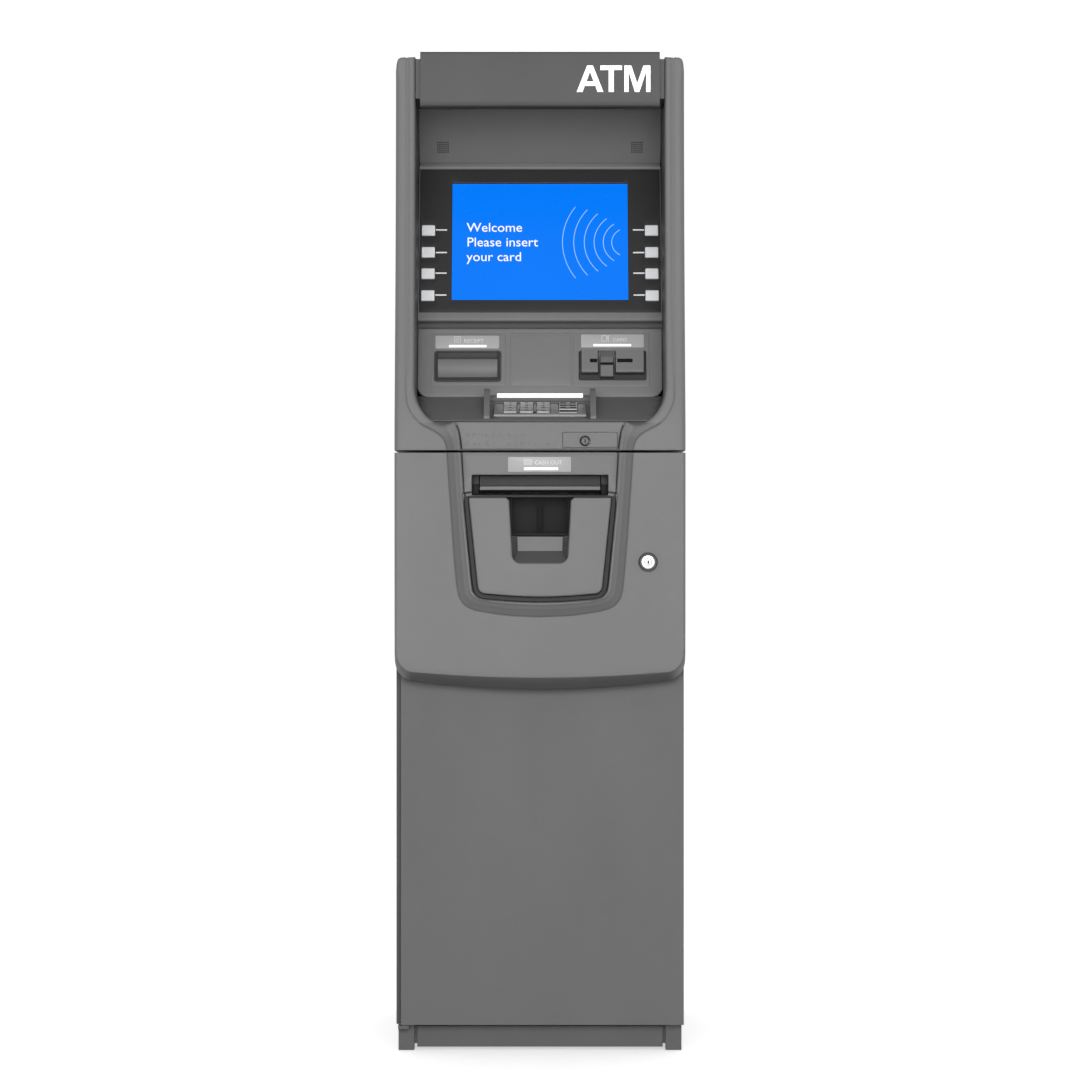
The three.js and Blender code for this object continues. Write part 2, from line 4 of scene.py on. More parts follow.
import bmesh
import bpy
import numpy as np
from mathutils import Matrix, Vector
from mathutils.geometry import delaunay_2d_cdt


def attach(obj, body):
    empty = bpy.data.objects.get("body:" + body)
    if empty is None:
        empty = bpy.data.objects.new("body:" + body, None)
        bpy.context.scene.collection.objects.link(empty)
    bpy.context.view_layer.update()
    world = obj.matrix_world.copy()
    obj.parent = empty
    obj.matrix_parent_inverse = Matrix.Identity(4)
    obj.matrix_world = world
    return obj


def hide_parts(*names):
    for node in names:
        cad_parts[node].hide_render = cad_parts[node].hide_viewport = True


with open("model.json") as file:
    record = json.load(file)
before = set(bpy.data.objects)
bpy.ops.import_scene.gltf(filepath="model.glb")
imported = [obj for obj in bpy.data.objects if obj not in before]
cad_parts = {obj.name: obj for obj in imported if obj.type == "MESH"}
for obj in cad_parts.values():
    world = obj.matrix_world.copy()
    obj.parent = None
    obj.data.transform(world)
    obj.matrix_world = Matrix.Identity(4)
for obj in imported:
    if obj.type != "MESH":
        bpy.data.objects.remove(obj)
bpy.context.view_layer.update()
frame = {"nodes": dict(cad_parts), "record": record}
NODES = frame["nodes"]
BODY_OF = {}
for _b, _ns in (frame["record"].get("behaviour") or {}).get("bodies", {}).items():
    for _n in _ns:
        BODY_OF[_n] = _b


def Y(d):
    return d - 290.0


# ------------------------------------------------------------------ frames of the tilted units (mm)
def rx(deg):
    return Matrix.Rotation(math.radians(deg), 4, "X")


def at(d, z, deg=0.0):
    return Matrix.Translation((0, Y(d), z)) @ rx(deg)


SHELF_DEG = math.degrees(math.atan2(38, 126))
WORLD = Matrix.Identity(4)
PANEL = at(140, 910.6, -20)
SCREEN = at(168, 1020.6, -20)
SPEAK = at(250, 1249, 22.5)
SHELF = at(14, 872, SHELF_DEG)
PAD = at(13.47, 873.96, 12.3)


# ------------------------------------------------------------------ materials
def _nodes(name):
    m = bpy.data.materials.new(name)
    m.use_nodes = True
    nt = m.node_tree
    nt.nodes.clear()
    out = nt.nodes.new("ShaderNodeOutputMaterial")
    b = nt.nodes.new("ShaderNodeBsdfPrincipled")
    nt.links.new(b.outputs[0], out.inputs[0])
    tc = nt.nodes.new("ShaderNodeTexCoord")
    return m, nt, b, tc


def _noise(nt, vec, scale, detail=3.0, rough=0.55, stretch=None):
    n = nt.nodes.new("ShaderNodeTexNoise")
    n.inputs["Scale"].default_value = scale
    n.inputs["Detail"].default_value = detail
    n.inputs["Roughness"].default_value = rough
    if stretch:
        mp = nt.nodes.new("ShaderNodeMapping")
        mp.inputs["Scale"].default_value = stretch
        nt.links.new(vec, mp.inputs[0])
        vec = mp.outputs[0]
    nt.links.new(vec, n.inputs["Vector"])
    return n.outputs["Fac"]


def _range(nt, fac, lo, hi, a=0.3, b=0.7):
    r = nt.nodes.new("ShaderNodeMapRange")
    r.inputs["From Min"].default_value = a
    r.inputs["From Max"].default_value = b
    r.inputs["To Min"].default_value = lo
    r.inputs["To Max"].default_value = hi
    nt.links.new(fac, r.inputs["Value"])
    return r.outputs[0]


def _mix(nt, fac, c0, c1):
    r = nt.nodes.new("ShaderNodeValToRGB")
    r.color_ramp.elements[0].position = 0.32
    r.color_ramp.elements[1].position = 0.68
    r.color_ramp.elements[0].color = (*c0, 1)
    r.color_ramp.elements[1].color = (*c1, 1)
    nt.links.new(fac, r.inputs[0])
    return r.outputs[0]


def _blend(nt, fac, a, b, mode="MIX"):
    n = nt.nodes.new("ShaderNodeMix")
    n.data_type = "RGBA"
    n.blend_type = mode
    if isinstance(fac, float):
        n.inputs[0].default_value = fac
    else:
        nt.links.new(fac, n.inputs[0])
    for sock, v in ((n.inputs[6], a), (n.inputs[7], b)):
        if isinstance(v, tuple):
            sock.default_value = (*v, 1)
        else:
            nt.links.new(v, sock)
    return n.outputs[2]


def _bump(nt, b, fac, dist, strength=1.0, normal=None):
    n = nt.nodes.new("ShaderNodeBump")
    n.inputs["Distance"].default_value = dist
    n.inputs["Strength"].default_value = strength
    nt.links.new(fac, n.inputs["Height"])
    if normal is not None:
        nt.links.new(normal, n.inputs["Normal"])
    nt.links.new(n.outputs[0], b.inputs["Normal"])
    return n.outputs[0]


def grained(name, col, rough=0.5, grain=900.0, depth=0.00012, vary=0.06, metal=0.0, spec=0.4, coat=0.0, fine=2600.0):
    """moulded or powder-coated surface: slow tone drift, fine pebble grain, roughness that follows the grain"""
    m, nt, b, tc = _nodes(name)
    v = tc.outputs["Object"]
    slow = _noise(nt, v, 3.1, 3)
    mid = _noise(nt, v, 46.0, 4)
    c0 = tuple(max(0.0, c * (1 - vary)) for c in col)
    c1 = tuple(c * (1 + vary) for c in col)
    base = _mix(nt, slow, c0, c1)
    base = _blend(nt, 0.35, base, _mix(nt, mid, tuple(c * (1 - vary * 1.3) for c in col), tuple(c * (1 + vary) for c in col)))
    pebble = _noise(nt, v, grain, 2, 0.5)
    base = _blend(nt, 0.22, base, _mix(nt, pebble, tuple(c * 0.86 for c in col), tuple(c * 1.12 for c in col)))
    nt.links.new(base, b.inputs["Base Color"])
    smear = _noise(nt, v, 9.0, 5, 0.6, (1, 1, 0.35))
    rr = _blend(nt, 0.5, _range(nt, pebble, rough - 0.06, rough + 0.07), _range(nt, smear, rough - 0.07, rough + 0.07))
    nt.links.new(rr, b.inputs["Roughness"])
    b.inputs["Metallic"].default_value = metal
    b.inputs["Specular IOR Level"].default_value = spec
    b.inputs["Coat Weight"].default_value = coat
    b.inputs["Coat Roughness"].default_value = 0.25
    n1 = _bump(nt, b, pebble, depth, 0.55)
    _bump(nt, b, _noise(nt, v, fine, 1, 0.5), depth * 0.4, 0.4, n1)
    return m


def brushed(name, col, rough=0.32, axis=(1, 60, 60), scale=40.0, metal=1.0):
    m, nt, b, tc = _nodes(name)
    v = tc.outputs["Object"]
    streak = _noise(nt, v, scale, 5, 0.6, axis)
    slow = _noise(nt, v, 12.0, 3)
    nt.links.new(_blend(nt, 0.4, _mix(nt, streak, tuple(c * 0.86 for c in col), tuple(c * 1.1 for c in col)), _mix(nt, slow, tuple(c * 0.93 for c in col), col)), b.inputs["Base Color"])
    nt.links.new(_range(nt, streak, rough - 0.08, rough + 0.1), b.inputs["Roughness"])
    b.inputs["Metallic"].default_value = metal
    _bump(nt, b, streak, 0.00006, 0.5)
    return m


def glowing(name, col, strength, base=(0.8, 0.8, 0.8), rough=0.25):
    m, nt, b, tc = _nodes(name)
    v = tc.outputs["Object"]
    n = _noise(nt, v, 60.0, 3)
    nt.links.new(_mix(nt, n, tuple(c * 0.97 for c in base), base), b.inputs["Base Color"])
    nt.links.new(_mix(nt, n, tuple(c * 0.985 for c in col), col), b.inputs["Emission Color"])
    b.inputs["Emission Strength"].default_value = strength
    nt.links.new(_range(nt, _noise(nt, v, 300.0, 2), rough - 0.04, rough + 0.04), b.inputs["Roughness"])
    return m


def lcd_material(name):
    """lit display: even blue with a faint backlight falloff and the panel's fine row structure"""
    m, nt, b, tc = _nodes(name)
    v = tc.outputs["Object"]
    n = _noise(nt, v, 5.0, 2)
    rows = nt.nodes.new("ShaderNodeTexWave")
    rows.wave_type = "BANDS"
    rows.bands_direction = "Z"
    rows.inputs["Scale"].default_value = 330.0
    nt.links.new(v, rows.inputs["Vector"])
    c = _blend(nt, 0.05, _mix(nt, n, (0.0, 0.196, 0.965), (0.0, 0.202, 1.0)), _mix(nt, rows.outputs["Fac"], (0.0, 0.16, 0.8), (0.0, 0.21, 1.0)))
    nt.links.new(c, b.inputs["Emission Color"])
    b.inputs["Emission Strength"].default_value = 0.97
    nt.links.new(_mix(nt, n, (0.0, 0.004, 0.02), (0.0, 0.006, 0.03)), b.inputs["Base Color"])
    nt.links.new(_range(nt, _noise(nt, v, 200.0, 2), 0.2, 0.28), b.inputs["Roughness"])
    b.inputs["Specular IOR Level"].default_value = 0.25
    return m


M = {}
M["grey"] = grained("fascia_grey", (0.232, 0.232, 0.233), 0.52, vary=0.035)
# darker copy of the fascia grey: painted shade for faces that tilt away from the light or sit under overhangs
M["grey_shade"] = grained("fascia_grey_painted_shade", (0.18, 0.18, 0.181), 0.52, vary=0.035)
M["sign"] = grained("sign_face_grey", (0.125, 0.125, 0.126), 0.5, spec=0.25, grain=1600.0, depth=0.00004, vary=0.03)
M["steel"] = grained("powder_coat_grey", (0.152, 0.152, 0.153), 0.5, grain=620.0, depth=0.00016, vary=0.04)
M["base"] = grained("powder_coat_dark", (0.122, 0.122, 0.123), 0.52, grain=620.0, depth=0.00016, vary=0.05)
M["bezel"] = grained("bezel_charcoal", (0.045, 0.045, 0.046), 0.34, grain=1500.0, depth=0.00004, vary=0.05)
M["black"] = grained("black_plastic", (0.012, 0.012, 0.0125), 0.6, grain=1200.0, depth=0.00006, vary=0.1, spec=0.2)
# near-black fill put in holes, slots and gaps: painted shadow
M["gap"] = grained("gap_black", (0.004, 0.004, 0.004), 0.8, vary=0.2)
M["panel"] = grained("service_panel_grey", (0.25, 0.25, 0.251), 0.52, vary=0.03)
# pale grey; on the screen frame's top bar it is painted light, a lit copy of the fascia grey
M["grey_light"] = grained("fascia_grey_light", (0.35, 0.35, 0.351), 0.5, vary=0.03)
# very dark grey for gutters, channels and recessed faces: painted shade
M["groove_shade"] = grained("groove_painted_shade", (0.062, 0.062, 0.063), 0.6, vary=0.05, spec=0.25)
# white plastic with a faint emission: painted light, the keys and the gear that use it are no lamps
M["white_glow"] = glowing("white_painted_glow", (0.95, 0.97, 1.0), 0.2, (0.84, 0.85, 0.87), 0.4)
M["label"] = grained("label_plate", (0.56, 0.56, 0.565), 0.32, grain=2000.0, depth=0.00002, vary=0.02)
M["white"] = grained("print_white", (0.86, 0.86, 0.86), 0.45, grain=2000.0, depth=0.00002, vary=0.015)
M["white_lit"] = glowing("lit_white", (1.0, 1.0, 1.0), 0.75, (0.9, 0.9, 0.9))
M["lightbar"] = glowing("light_bar_white", (1.0, 1.0, 1.0), 1.3, (0.9, 0.9, 0.9))
M["lcd_text"] = glowing("display_white", (1.0, 1.0, 1.0), 0.95, (0.2, 0.2, 0.2))
M["lcd_arc"] = glowing("display_light_blue", (0.36, 0.66, 1.0), 0.95, (0.1, 0.1, 0.1))
M["lcd"] = lcd_material("display_blue")
M["pad"] = brushed("keypad_steel", (0.36, 0.36, 0.364), 0.48, metal=0.3)
M["key"] = brushed("key_steel", (0.45, 0.45, 0.454), 0.42, scale=60.0, metal=0.35)
M["chrome"] = brushed("polished_steel", (0.8, 0.8, 0.8), 0.14, scale=90.0)
M["chrome_face"] = brushed("lock_face", (0.7, 0.7, 0.7), 0.3, scale=90.0, metal=0.35)
M["zinc"] = brushed("plated_steel", (0.52, 0.52, 0.51), 0.34, (1, 1, 8), 30.0)
M["sheet"] = brushed("galvanised_sheet", (0.5, 0.51, 0.52), 0.42, (6, 6, 1), 14.0)
M["rubber"] = grained("rubber", (0.015, 0.015, 0.015), 0.75, grain=700.0, vary=0.15)
M["paper"] = grained("paper_white", (0.8, 0.8, 0.78), 0.8, grain=1400.0, depth=0.00003, vary=0.02)
# dark grey for recesses, undersides and gaps: painted shade
M["recess_shade"] = grained("recess_painted_shade", (0.11, 0.11, 0.111), 0.6, vary=0.05)
# darker copy of the fascia grey for the keypad shelf and the lower chamfer: painted shade
M["shelf"] = grained("shelf_painted_shade", (0.2, 0.2, 0.201), 0.55, vary=0.035, spec=0.25)
M["ink"] = grained("printed_dark", (0.02, 0.02, 0.021), 0.5, grain=2000.0, depth=0.00002, vary=0.08)
M["green"] = grained("circuit_green", (0.01, 0.09, 0.035), 0.35, grain=700.0, depth=0.00006, vary=0.2, coat=0.3)


# ------------------------------------------------------------------ mesh helpers (all in mm until placed)
def smooth(me, angle=32.0):
    for p in me.polygons:
        p.use_smooth = True
    me.set_sharp_from_angle(angle=math.radians(angle))


def make(name, verts, faces, mat, body, frame_m=WORLD, replaces=(), slot=None, angle=32.0, weld=True):
    me = bpy.data.meshes.new(name)
    me.from_pydata([tuple(map(float, v)) for v in verts], [], [tuple(int(i) for i in f) for f in faces])
    return place(name, me, mat, body, frame_m, replaces, slot, angle, weld)


def place(name, me, mat, body, frame_m=WORLD, replaces=(), slot=None, angle=32.0, weld=True, recalc=True):
    bm = bmesh.new()
    bm.from_mesh(me)
    if weld:
        bmesh.ops.remove_doubles(bm, verts=bm.verts, dist=0.004)
    bmesh.ops.transform(bm, matrix=frame_m, verts=bm.verts)
    bmesh.ops.scale(bm, vec=(0.001, 0.001, 0.001), verts=bm.verts)
    if recalc:
        bmesh.ops.recalc_face_normals(bm, faces=bm.faces)
    bm.to_mesh(me)
    bm.free()
    me.materials.clear()
    me.materials.append(M[mat] if isinstance(mat, str) else mat)
    smooth(me, angle)
    o = bpy.data.objects.new(name, me)
    bpy.context.scene.collection.objects.link(o)
    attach(o, body)
    if replaces:
        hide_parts(*([replaces] if isinstance(replaces, str) else replaces))
    return o


def mesh_from_bm(name, bm):
    me = bpy.data.meshes.new(name)
    bm.to_mesh(me)
    bm.free()
    return me


def bevel_bm(bm, width, segments=3, angle=28.0, clamp=True):
    edges = [e for e in bm.edges if len(e.link_faces) == 2 and e.calc_face_angle(0) > math.radians(angle)]
    if edges:
        bmesh.ops.bevel(bm, geom=edges, offset=width, segments=segments, profile=0.5, affect="EDGES", clamp_overlap=clamp)


def even_normals(o):
    m = o.modifiers.new("even_normals", "WEIGHTED_NORMAL")
    m.mode = "FACE_AREA"
    m.weight = 60
    m.keep_sharp = True
    return o


def refine(node, mat, width=0.8, segments=2, name=None, angle=28.0, shade=32.0, second=None):
    """the CAD solid with its flats merged and its edges rounded; second = (material, test(centre_mm, normal))"""
    src = NODES[node].data
    bm = bmesh.new()
    bm.from_mesh(src)
    bmesh.ops.remove_doubles(bm, verts=bm.verts, dist=1e-6)
    bmesh.ops.dissolve_limit(bm, angle_limit=math.radians(1.2), verts=bm.verts, edges=bm.edges)
    if width > 0:
        bevel_bm(bm, width / 1000.0, segments, angle)
    if second:
        bm.normal_update()
        for f in bm.faces:
            if second[1](f.calc_center_median() * 1000.0, f.normal):
                f.material_index = 1
    me = mesh_from_bm(name or node + "_skin", bm)
    me.materials.append(M[mat])
    if second:
        me.materials.append(M[second[0]])
    smooth(me, shade)
    o = bpy.data.objects.new(name or node + "_skin", me)
    bpy.context.scene.collection.objects.link(o)
    even_normals(o)
    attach(o, BODY_OF[node])
    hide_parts(node)
    return o


def second_mat(o, mat, test, frame_m=WORLD):
    """give the faces whose centre (mm, in the frame) and normal pass the test another material"""
    inv = frame_m.inverted()
    turn = inv.to_3x3()
    o.data.materials.append(M[mat])
    k = len(o.data.materials) - 1
    for q in o.data.polygons:
        if test(inv @ (q.center * 1000.0), turn @ q.normal):
            q.material_index = k
    return o


def paint(o, mat, mask):
    """give the faces whose centres (x, z in mm) fall in the mask another material"""
    o.data.materials.append(M[mat])
    k = len(o.data.materials) - 1
    c = np.empty(len(o.data.polygons) * 3)
    o.data.polygons.foreach_get("center", c)
    c = c.reshape(-1, 3) * 1000.0
    for i in np.nonzero(mask(c[:, 0], c[:, 2], c[:, 1] + 290.0))[0]:
        o.data.polygons[int(i)].material_index = k
    return o


def rounded(corners, seg=6):
    out = []
    n = len(corners)
    for i in range(n):
        c = corners[i]
        x, z = c[0], c[1]
        r = c[2] if len(c) > 2 else 0
        if not r:
            out.append((x, z))
            continue
        p, q = corners[i - 1], corners[(i + 1) % n]
        a = Vector((p[0] - x, p[1] - z)).normalized()
        b = Vector((q[0] - x, q[1] - z)).normalized()
        half = math.acos(max(-1, min(1, a.dot(b)))) / 2
        t = r / math.tan(half)
        s, e = Vector((x, z)) + a * t, Vector((x, z)) + b * t
        cc = Vector((x, z)) + (a + b).normalized() * (r / math.sin(half))
        a0, a1 = math.atan2(s.y - cc.y, s.x - cc.x), math.atan2(e.y - cc.y, e.x - cc.x)
        d = (a1 - a0 + math.pi) % (2 * math.pi) - math.pi
        for k in range(seg + 1):
            w = a0 + d * k / seg
            out.append((cc.x + r * math.cos(w), cc.y + r * math.sin(w)))
    return out


def rrect(x0, x1, z0, z1, r=0.0, seg=5):
    return rounded([(x0, z0, r), (x1, z0, r), (x1, z1, r), (x0, z1, r)], seg)


def area2(p):
    return sum(p[i][0] * p[(i + 1) % len(p)][1] - p[(i + 1) % len(p)][0] * p[i][1] for i in range(len(p)))


def grow(p, w):
    """outline moved outwards by w"""
    n = len(p)
    s = 1 if area2(p) > 0 else -1
    out = []
    for i in range(n):
        a, b, c = Vector(p[i - 1]), Vector(p[i]), Vector(p[(i + 1) % n])
        e, f = (b - a), (c - b)
        if e.length < 1e-9 or f.length < 1e-9:
            out.append(tuple(b))
            continue
        e.normalize(), f.normalize()
        ne, nf = Vector((e.y, -e.x)) * s, Vector((f.y, -f.x)) * s
        m = (ne + nf)
        if m.length < 1e-6:
            m = ne
        m.normalize()
        k = max(0.4, m.dot(ne))
        out.append((b.x + m.x * w / k, b.y + m.y * w / k))
    return out


def circle(x, z, r, n=32, a0=0.0):
    return [(x + r * math.cos(a0 + 2 * math.pi * i / n), z + r * math.sin(a0 + 2 * math.pi * i / n)) for i in range(n)]


def inside(px, pz, poly):
    p = np.asarray(poly, float)
    x0, z0 = p[:, 0], p[:, 1]
    x1, z1 = np.roll(x0, -1), np.roll(z0, -1)
    px, pz = np.asarray(px, float)[:, None], np.asarray(pz, float)[:, None]
    cond = (z0 > pz) != (z1 > pz)
    with np.errstate(divide="ignore", invalid="ignore"):
        xc = x0 + (pz - z0) * (x1 - x0) / (z1 - z0)
    return (np.sum(cond & (px < xc), axis=1) % 2) == 1


def pdist(px, pz, poly, closed=False):
    p = np.asarray(poly, float)
    a = p if closed else p[:-1]
    b = np.roll(p, -1, 0) if closed else p[1:]
    out = np.full(len(px), 1e9)
    q = np.stack([px, pz], 1)
    for s in range(0, len(q), 4000):
        qq = q[s:s + 4000, None, :]
        ab = (b - a)[None]
        t = np.clip(((qq - a[None]) * ab).sum(2) / np.maximum((ab ** 2).sum(2), 1e-12), 0, 1)
        out[s:s + 4000] = np.sqrt((((a[None] + ab * t[..., None]) - qq) ** 2).sum(2)).min(1)
    return out


def sstep(a, b, v):
    t = np.clip((np.asarray(v, float) - a) / (b - a), 0, 1)
    return t * t * (3 - 2 * t)


def catmull(pts, step=2.0):
    p = [np.array(q, float) for q in pts]
    p = [2 * p[0] - p[1]] + p + [2 * p[-1] - p[-2]]
    out = []
    for i in range(1, len(p) - 2):
        n = max(2, int(np.linalg.norm(p[i + 1] - p[i]) / step))
        for k in range(n):
            t = k / n
            out.append(0.5 * ((2 * p[i]) + (-p[i - 1] + p[i + 1]) * t + (2 * p[i - 1] - 5 * p[i] + 4 * p[i + 1] - p[i + 2]) * t * t + (-p[i - 1] + 3 * p[i] - 3 * p[i + 1] + p[i + 2]) * t ** 3))
    out.append(p[-2])
    return np.array(out)


def resample(path, n):
    p = np.asarray(path, float)
    s = np.concatenate([[0], np.cumsum(np.linalg.norm(np.diff(p, axis=0), axis=1))])
    t = np.linspace(0, s[-1], n)
    return np.stack([np.interp(t, s, p[:, 0]), np.interp(t, s, p[:, 1])], 1)


def side_offset(path, w):
    """open path moved by w to its left"""
    p = np.asarray(path, float)
    g = np.gradient(p, axis=0)
    g /= np.maximum(np.linalg.norm(g, axis=1, keepdims=True), 1e-9)
    return p + np.stack([-g[:, 1], g[:, 0]], 1) * w


def mirror_path(p):
    p = np.asarray(p, float)
    return p * np.array([-1, 1])


def relief(outer, holes, rings, f, spacing=8.0, keep=3.0, extra=None):
    """triangulates the outline less its holes, with the rings as edges, and gives each point its depth f(x, z).
    returns (points [x, z] in mm, depths, triangles, boundary edges)"""
    coords, edges = [], []

    def add(loop, closed):
        i0 = len(coords)
        coords.extend((float(a), float(b)) for a, b in loop)
        n = len(loop)
        edges.extend((i0 + i, i0 + i + 1) for i in range(n - 1))
        if closed:
            edges.append((i0 + n - 1, i0))

    add(outer, True)
    for h in holes:
        add(h, True)
    for r, closed in rings:
        add(r, closed)
    o = np.array(outer, float)
    xs = np.arange(o[:, 0].min() + spacing / 2, o[:, 0].max(), spacing)
    zs = np.arange(o[:, 1].min() + spacing / 2, o[:, 1].max(), spacing)
    gx, gz = np.meshgrid(xs, zs)
    gx[1::2] += spacing / 2
    gx, gz = gx.ravel(), gz.ravel()
    ok = inside(gx, gz, outer)
    allc = np.array(coords)
    near = np.zeros(len(gx), bool)
    for s in range(0, len(gx), 2000):
        dd = ((gx[s:s + 2000, None] - allc[None, :, 0]) ** 2 + (gz[s:s + 2000, None] - allc[None, :, 1]) ** 2).min(1)
        near[s:s + 2000] = dd < keep ** 2
    ok &= ~near
    coords.extend(zip(gx[ok].tolist(), gz[ok].tolist()))
    if extra is not None:
        coords.extend(extra)
    vs, _, tris, *_ = delaunay_2d_cdt([Vector(c) for c in coords], edges, [], 0, 1e-4, False)
    v = np.array([(a.x, a.y) for a in vs])
    t = np.array([list(q) for q in tris if len(q) == 3])
    c = v[t].mean(1)
    good = inside(c[:, 0], c[:, 1], outer)
    for h in holes:
        good &= ~inside(c[:, 0], c[:, 1], h)
    t = t[good]
    a = v[t]
    ar = (a[:, 1, 0] - a[:, 0, 0]) * (a[:, 2, 1] - a[:, 0, 1]) - (a[:, 2, 0] - a[:, 0, 0]) * (a[:, 1, 1] - a[:, 0, 1])
    t[ar < 0] = t[ar < 0][:, ::-1]
    t = t[np.abs(ar) > 1e-7]
    used = np.unique(t)
    remap = -np.ones(len(v), int)
    remap[used] = np.arange(len(used))
    v, t = v[used], remap[t]
    d = f(v[:, 0], v[:, 1])
    count = {}
    for q in t:
        for i in range(3):
            e = (int(q[i]), int(q[(i + 1) % 3]))
            k = (min(e), max(e))
            count[k] = None if k in count else e
    border = [e for e in count.values() if e]
    return v, d, t, border


def lift(v, d):
    return [(x, Y(dd), z) for (x, z), dd in zip(v, d)]


def walls(verts, faces, border, target, v):
    """hangs a wall from the border: target(x, z) gives the far point (x, d, z) in mm"""
    new = {}
    for a, b in border:
        for i in (a, b):
            if i not in new:
                x, d, z = target(*v[i])
                new[i] = len(verts)
                verts.append((x, Y(d), z))
        faces.append((b, a, new[a], new[b]))


def solidify(o, t, offset=-1.0):
    m = o.modifiers.new("thickness", "SOLIDIFY")
    m.thickness = t / 1000.0
    m.offset = offset
    m.use_rim = True
    m.use_even_offset = False
    return m


def prism(name, outline, y0, y1, mat, body, frame_m=WORLD, axis="Y", bevel=0.6, seg=2, **kw):
    """outline pulled along an axis, edges rounded. axis Y: outline is (x, z); X: (y, z); Z: (x, y)"""
    pts = outline if area2(outline) > 0 else outline[::-1]
    bm = bmesh.new()
    put = {"Y": lambda a, b, t: (a, t, b), "X": lambda a, b, t: (t, a, b), "Z": lambda a, b, t: (a, b, t)}[axis]
    lo = [bm.verts.new(put(a, b, y0)) for a, b in pts]
    hi = [bm.verts.new(put(a, b, y1)) for a, b in pts]
    bm.faces.new(lo)
    bm.faces.new(hi[::-1])
    n = len(pts)
    for i in range(n):
        bm.faces.new((lo[i], lo[(i + 1) % n], hi[(i + 1) % n], hi[i]))
    bmesh.ops.recalc_face_normals(bm, faces=bm.faces)
    if bevel:
        bevel_bm(bm, bevel, seg)
    return place(name, mesh_from_bm(name, bm), mat, body, frame_m, **kw)


def rbox(name, x0, x1, y0, y1, z0, z1, mat, body, frame_m=WORLD, bevel=0.6, seg=2, **kw):
    return prism(name, [(x0, z0), (x1, z0), (x1, z1), (x0, z1)], y0, y1, mat, body, frame_m, "Y", bevel, seg, **kw)


def lathe(name, profile, mat, body, centre, axis="Y", n=48, frame_m=WORLD, **kw):
    """profile [(r, t)] turned about an axis through centre; t runs along the axis"""
    bm = bmesh.new()
    rows = []
    for i in range(n):
        a = 2 * math.pi * i / n
        row = []
        for r, t in profile:
            u, w = r * math.cos(a), r * math.sin(a)
            p = {"Y": (centre[0] + u, centre[1] + t, centre[2] + w), "X": (centre[0] + t, centre[1] + u, centre[2] + w), "Z": (centre[0] + u, centre[1] + w, centre[2] + t)}[axis]
            row.append(bm.verts.new(p))
        rows.append(row)
    for i in range(n):
        a, b = rows[i], rows[(i + 1) % n]
        for k in range(len(profile) - 1):
            bm.faces.new((a[k], a[k + 1], b[k + 1], b[k]))
    bmesh.ops.remove_doubles(bm, verts=bm.verts, dist=1e-4)
    bmesh.ops.recalc_face_normals(bm, faces=bm.faces)
    return place(name, mesh_from_bm(name, bm), mat, body, frame_m, **kw)


def join_meshes(parts):
    """[(verts, faces), ...] → one"""
    V, F = [], []
    for v, f in parts:
        n = len(V)
        V.extend(v)
        F.extend([tuple(i + n for i in q) for q in f])
    return V, F


def text(name, body_text, size, x, y, z, mat, body, frame_m=WORLD, depth=0.25, align="LEFT", bold=0.0, spacing=1.0, lines=1.0, lie=False, width=None, rot=None):
    """raised lettering as a mesh; stands in the x-z plane of the frame, or lies in its x-y plane"""
    cu = bpy.data.curves.new(name, "FONT")
    cu.body = body_text
    cu.size = size
    cu.extrude = depth / 2
    cu.offset = bold
    cu.align_x = align
    cu.space_character = spacing
    cu.space_line = lines
    cu.resolution_u = 3
    tmp = bpy.data.objects.new(name + "_t", cu)
    bpy.context.scene.collection.objects.link(tmp)
    bpy.context.view_layer.update()
    me = bpy.data.meshes.new_from_object(tmp.evaluated_get(bpy.context.evaluated_depsgraph_get()))
    bpy.data.objects.remove(tmp)
    me.name = name
    if width:
        xs = [v.co.x for v in me.vertices]
        s = width / (max(xs) - min(xs))
        me.transform(Matrix.Diagonal((s, 1, 1, 1)))
    r = Matrix.Identity(4) if lie else Matrix.Rotation(math.pi / 2, 4, "X")
    if rot:
        r = r @ Matrix.Rotation(rot, 4, "Z")
    return place(name, me, mat, body, frame_m @ Matrix.Translation((x, y, z)) @ r, weld=True)


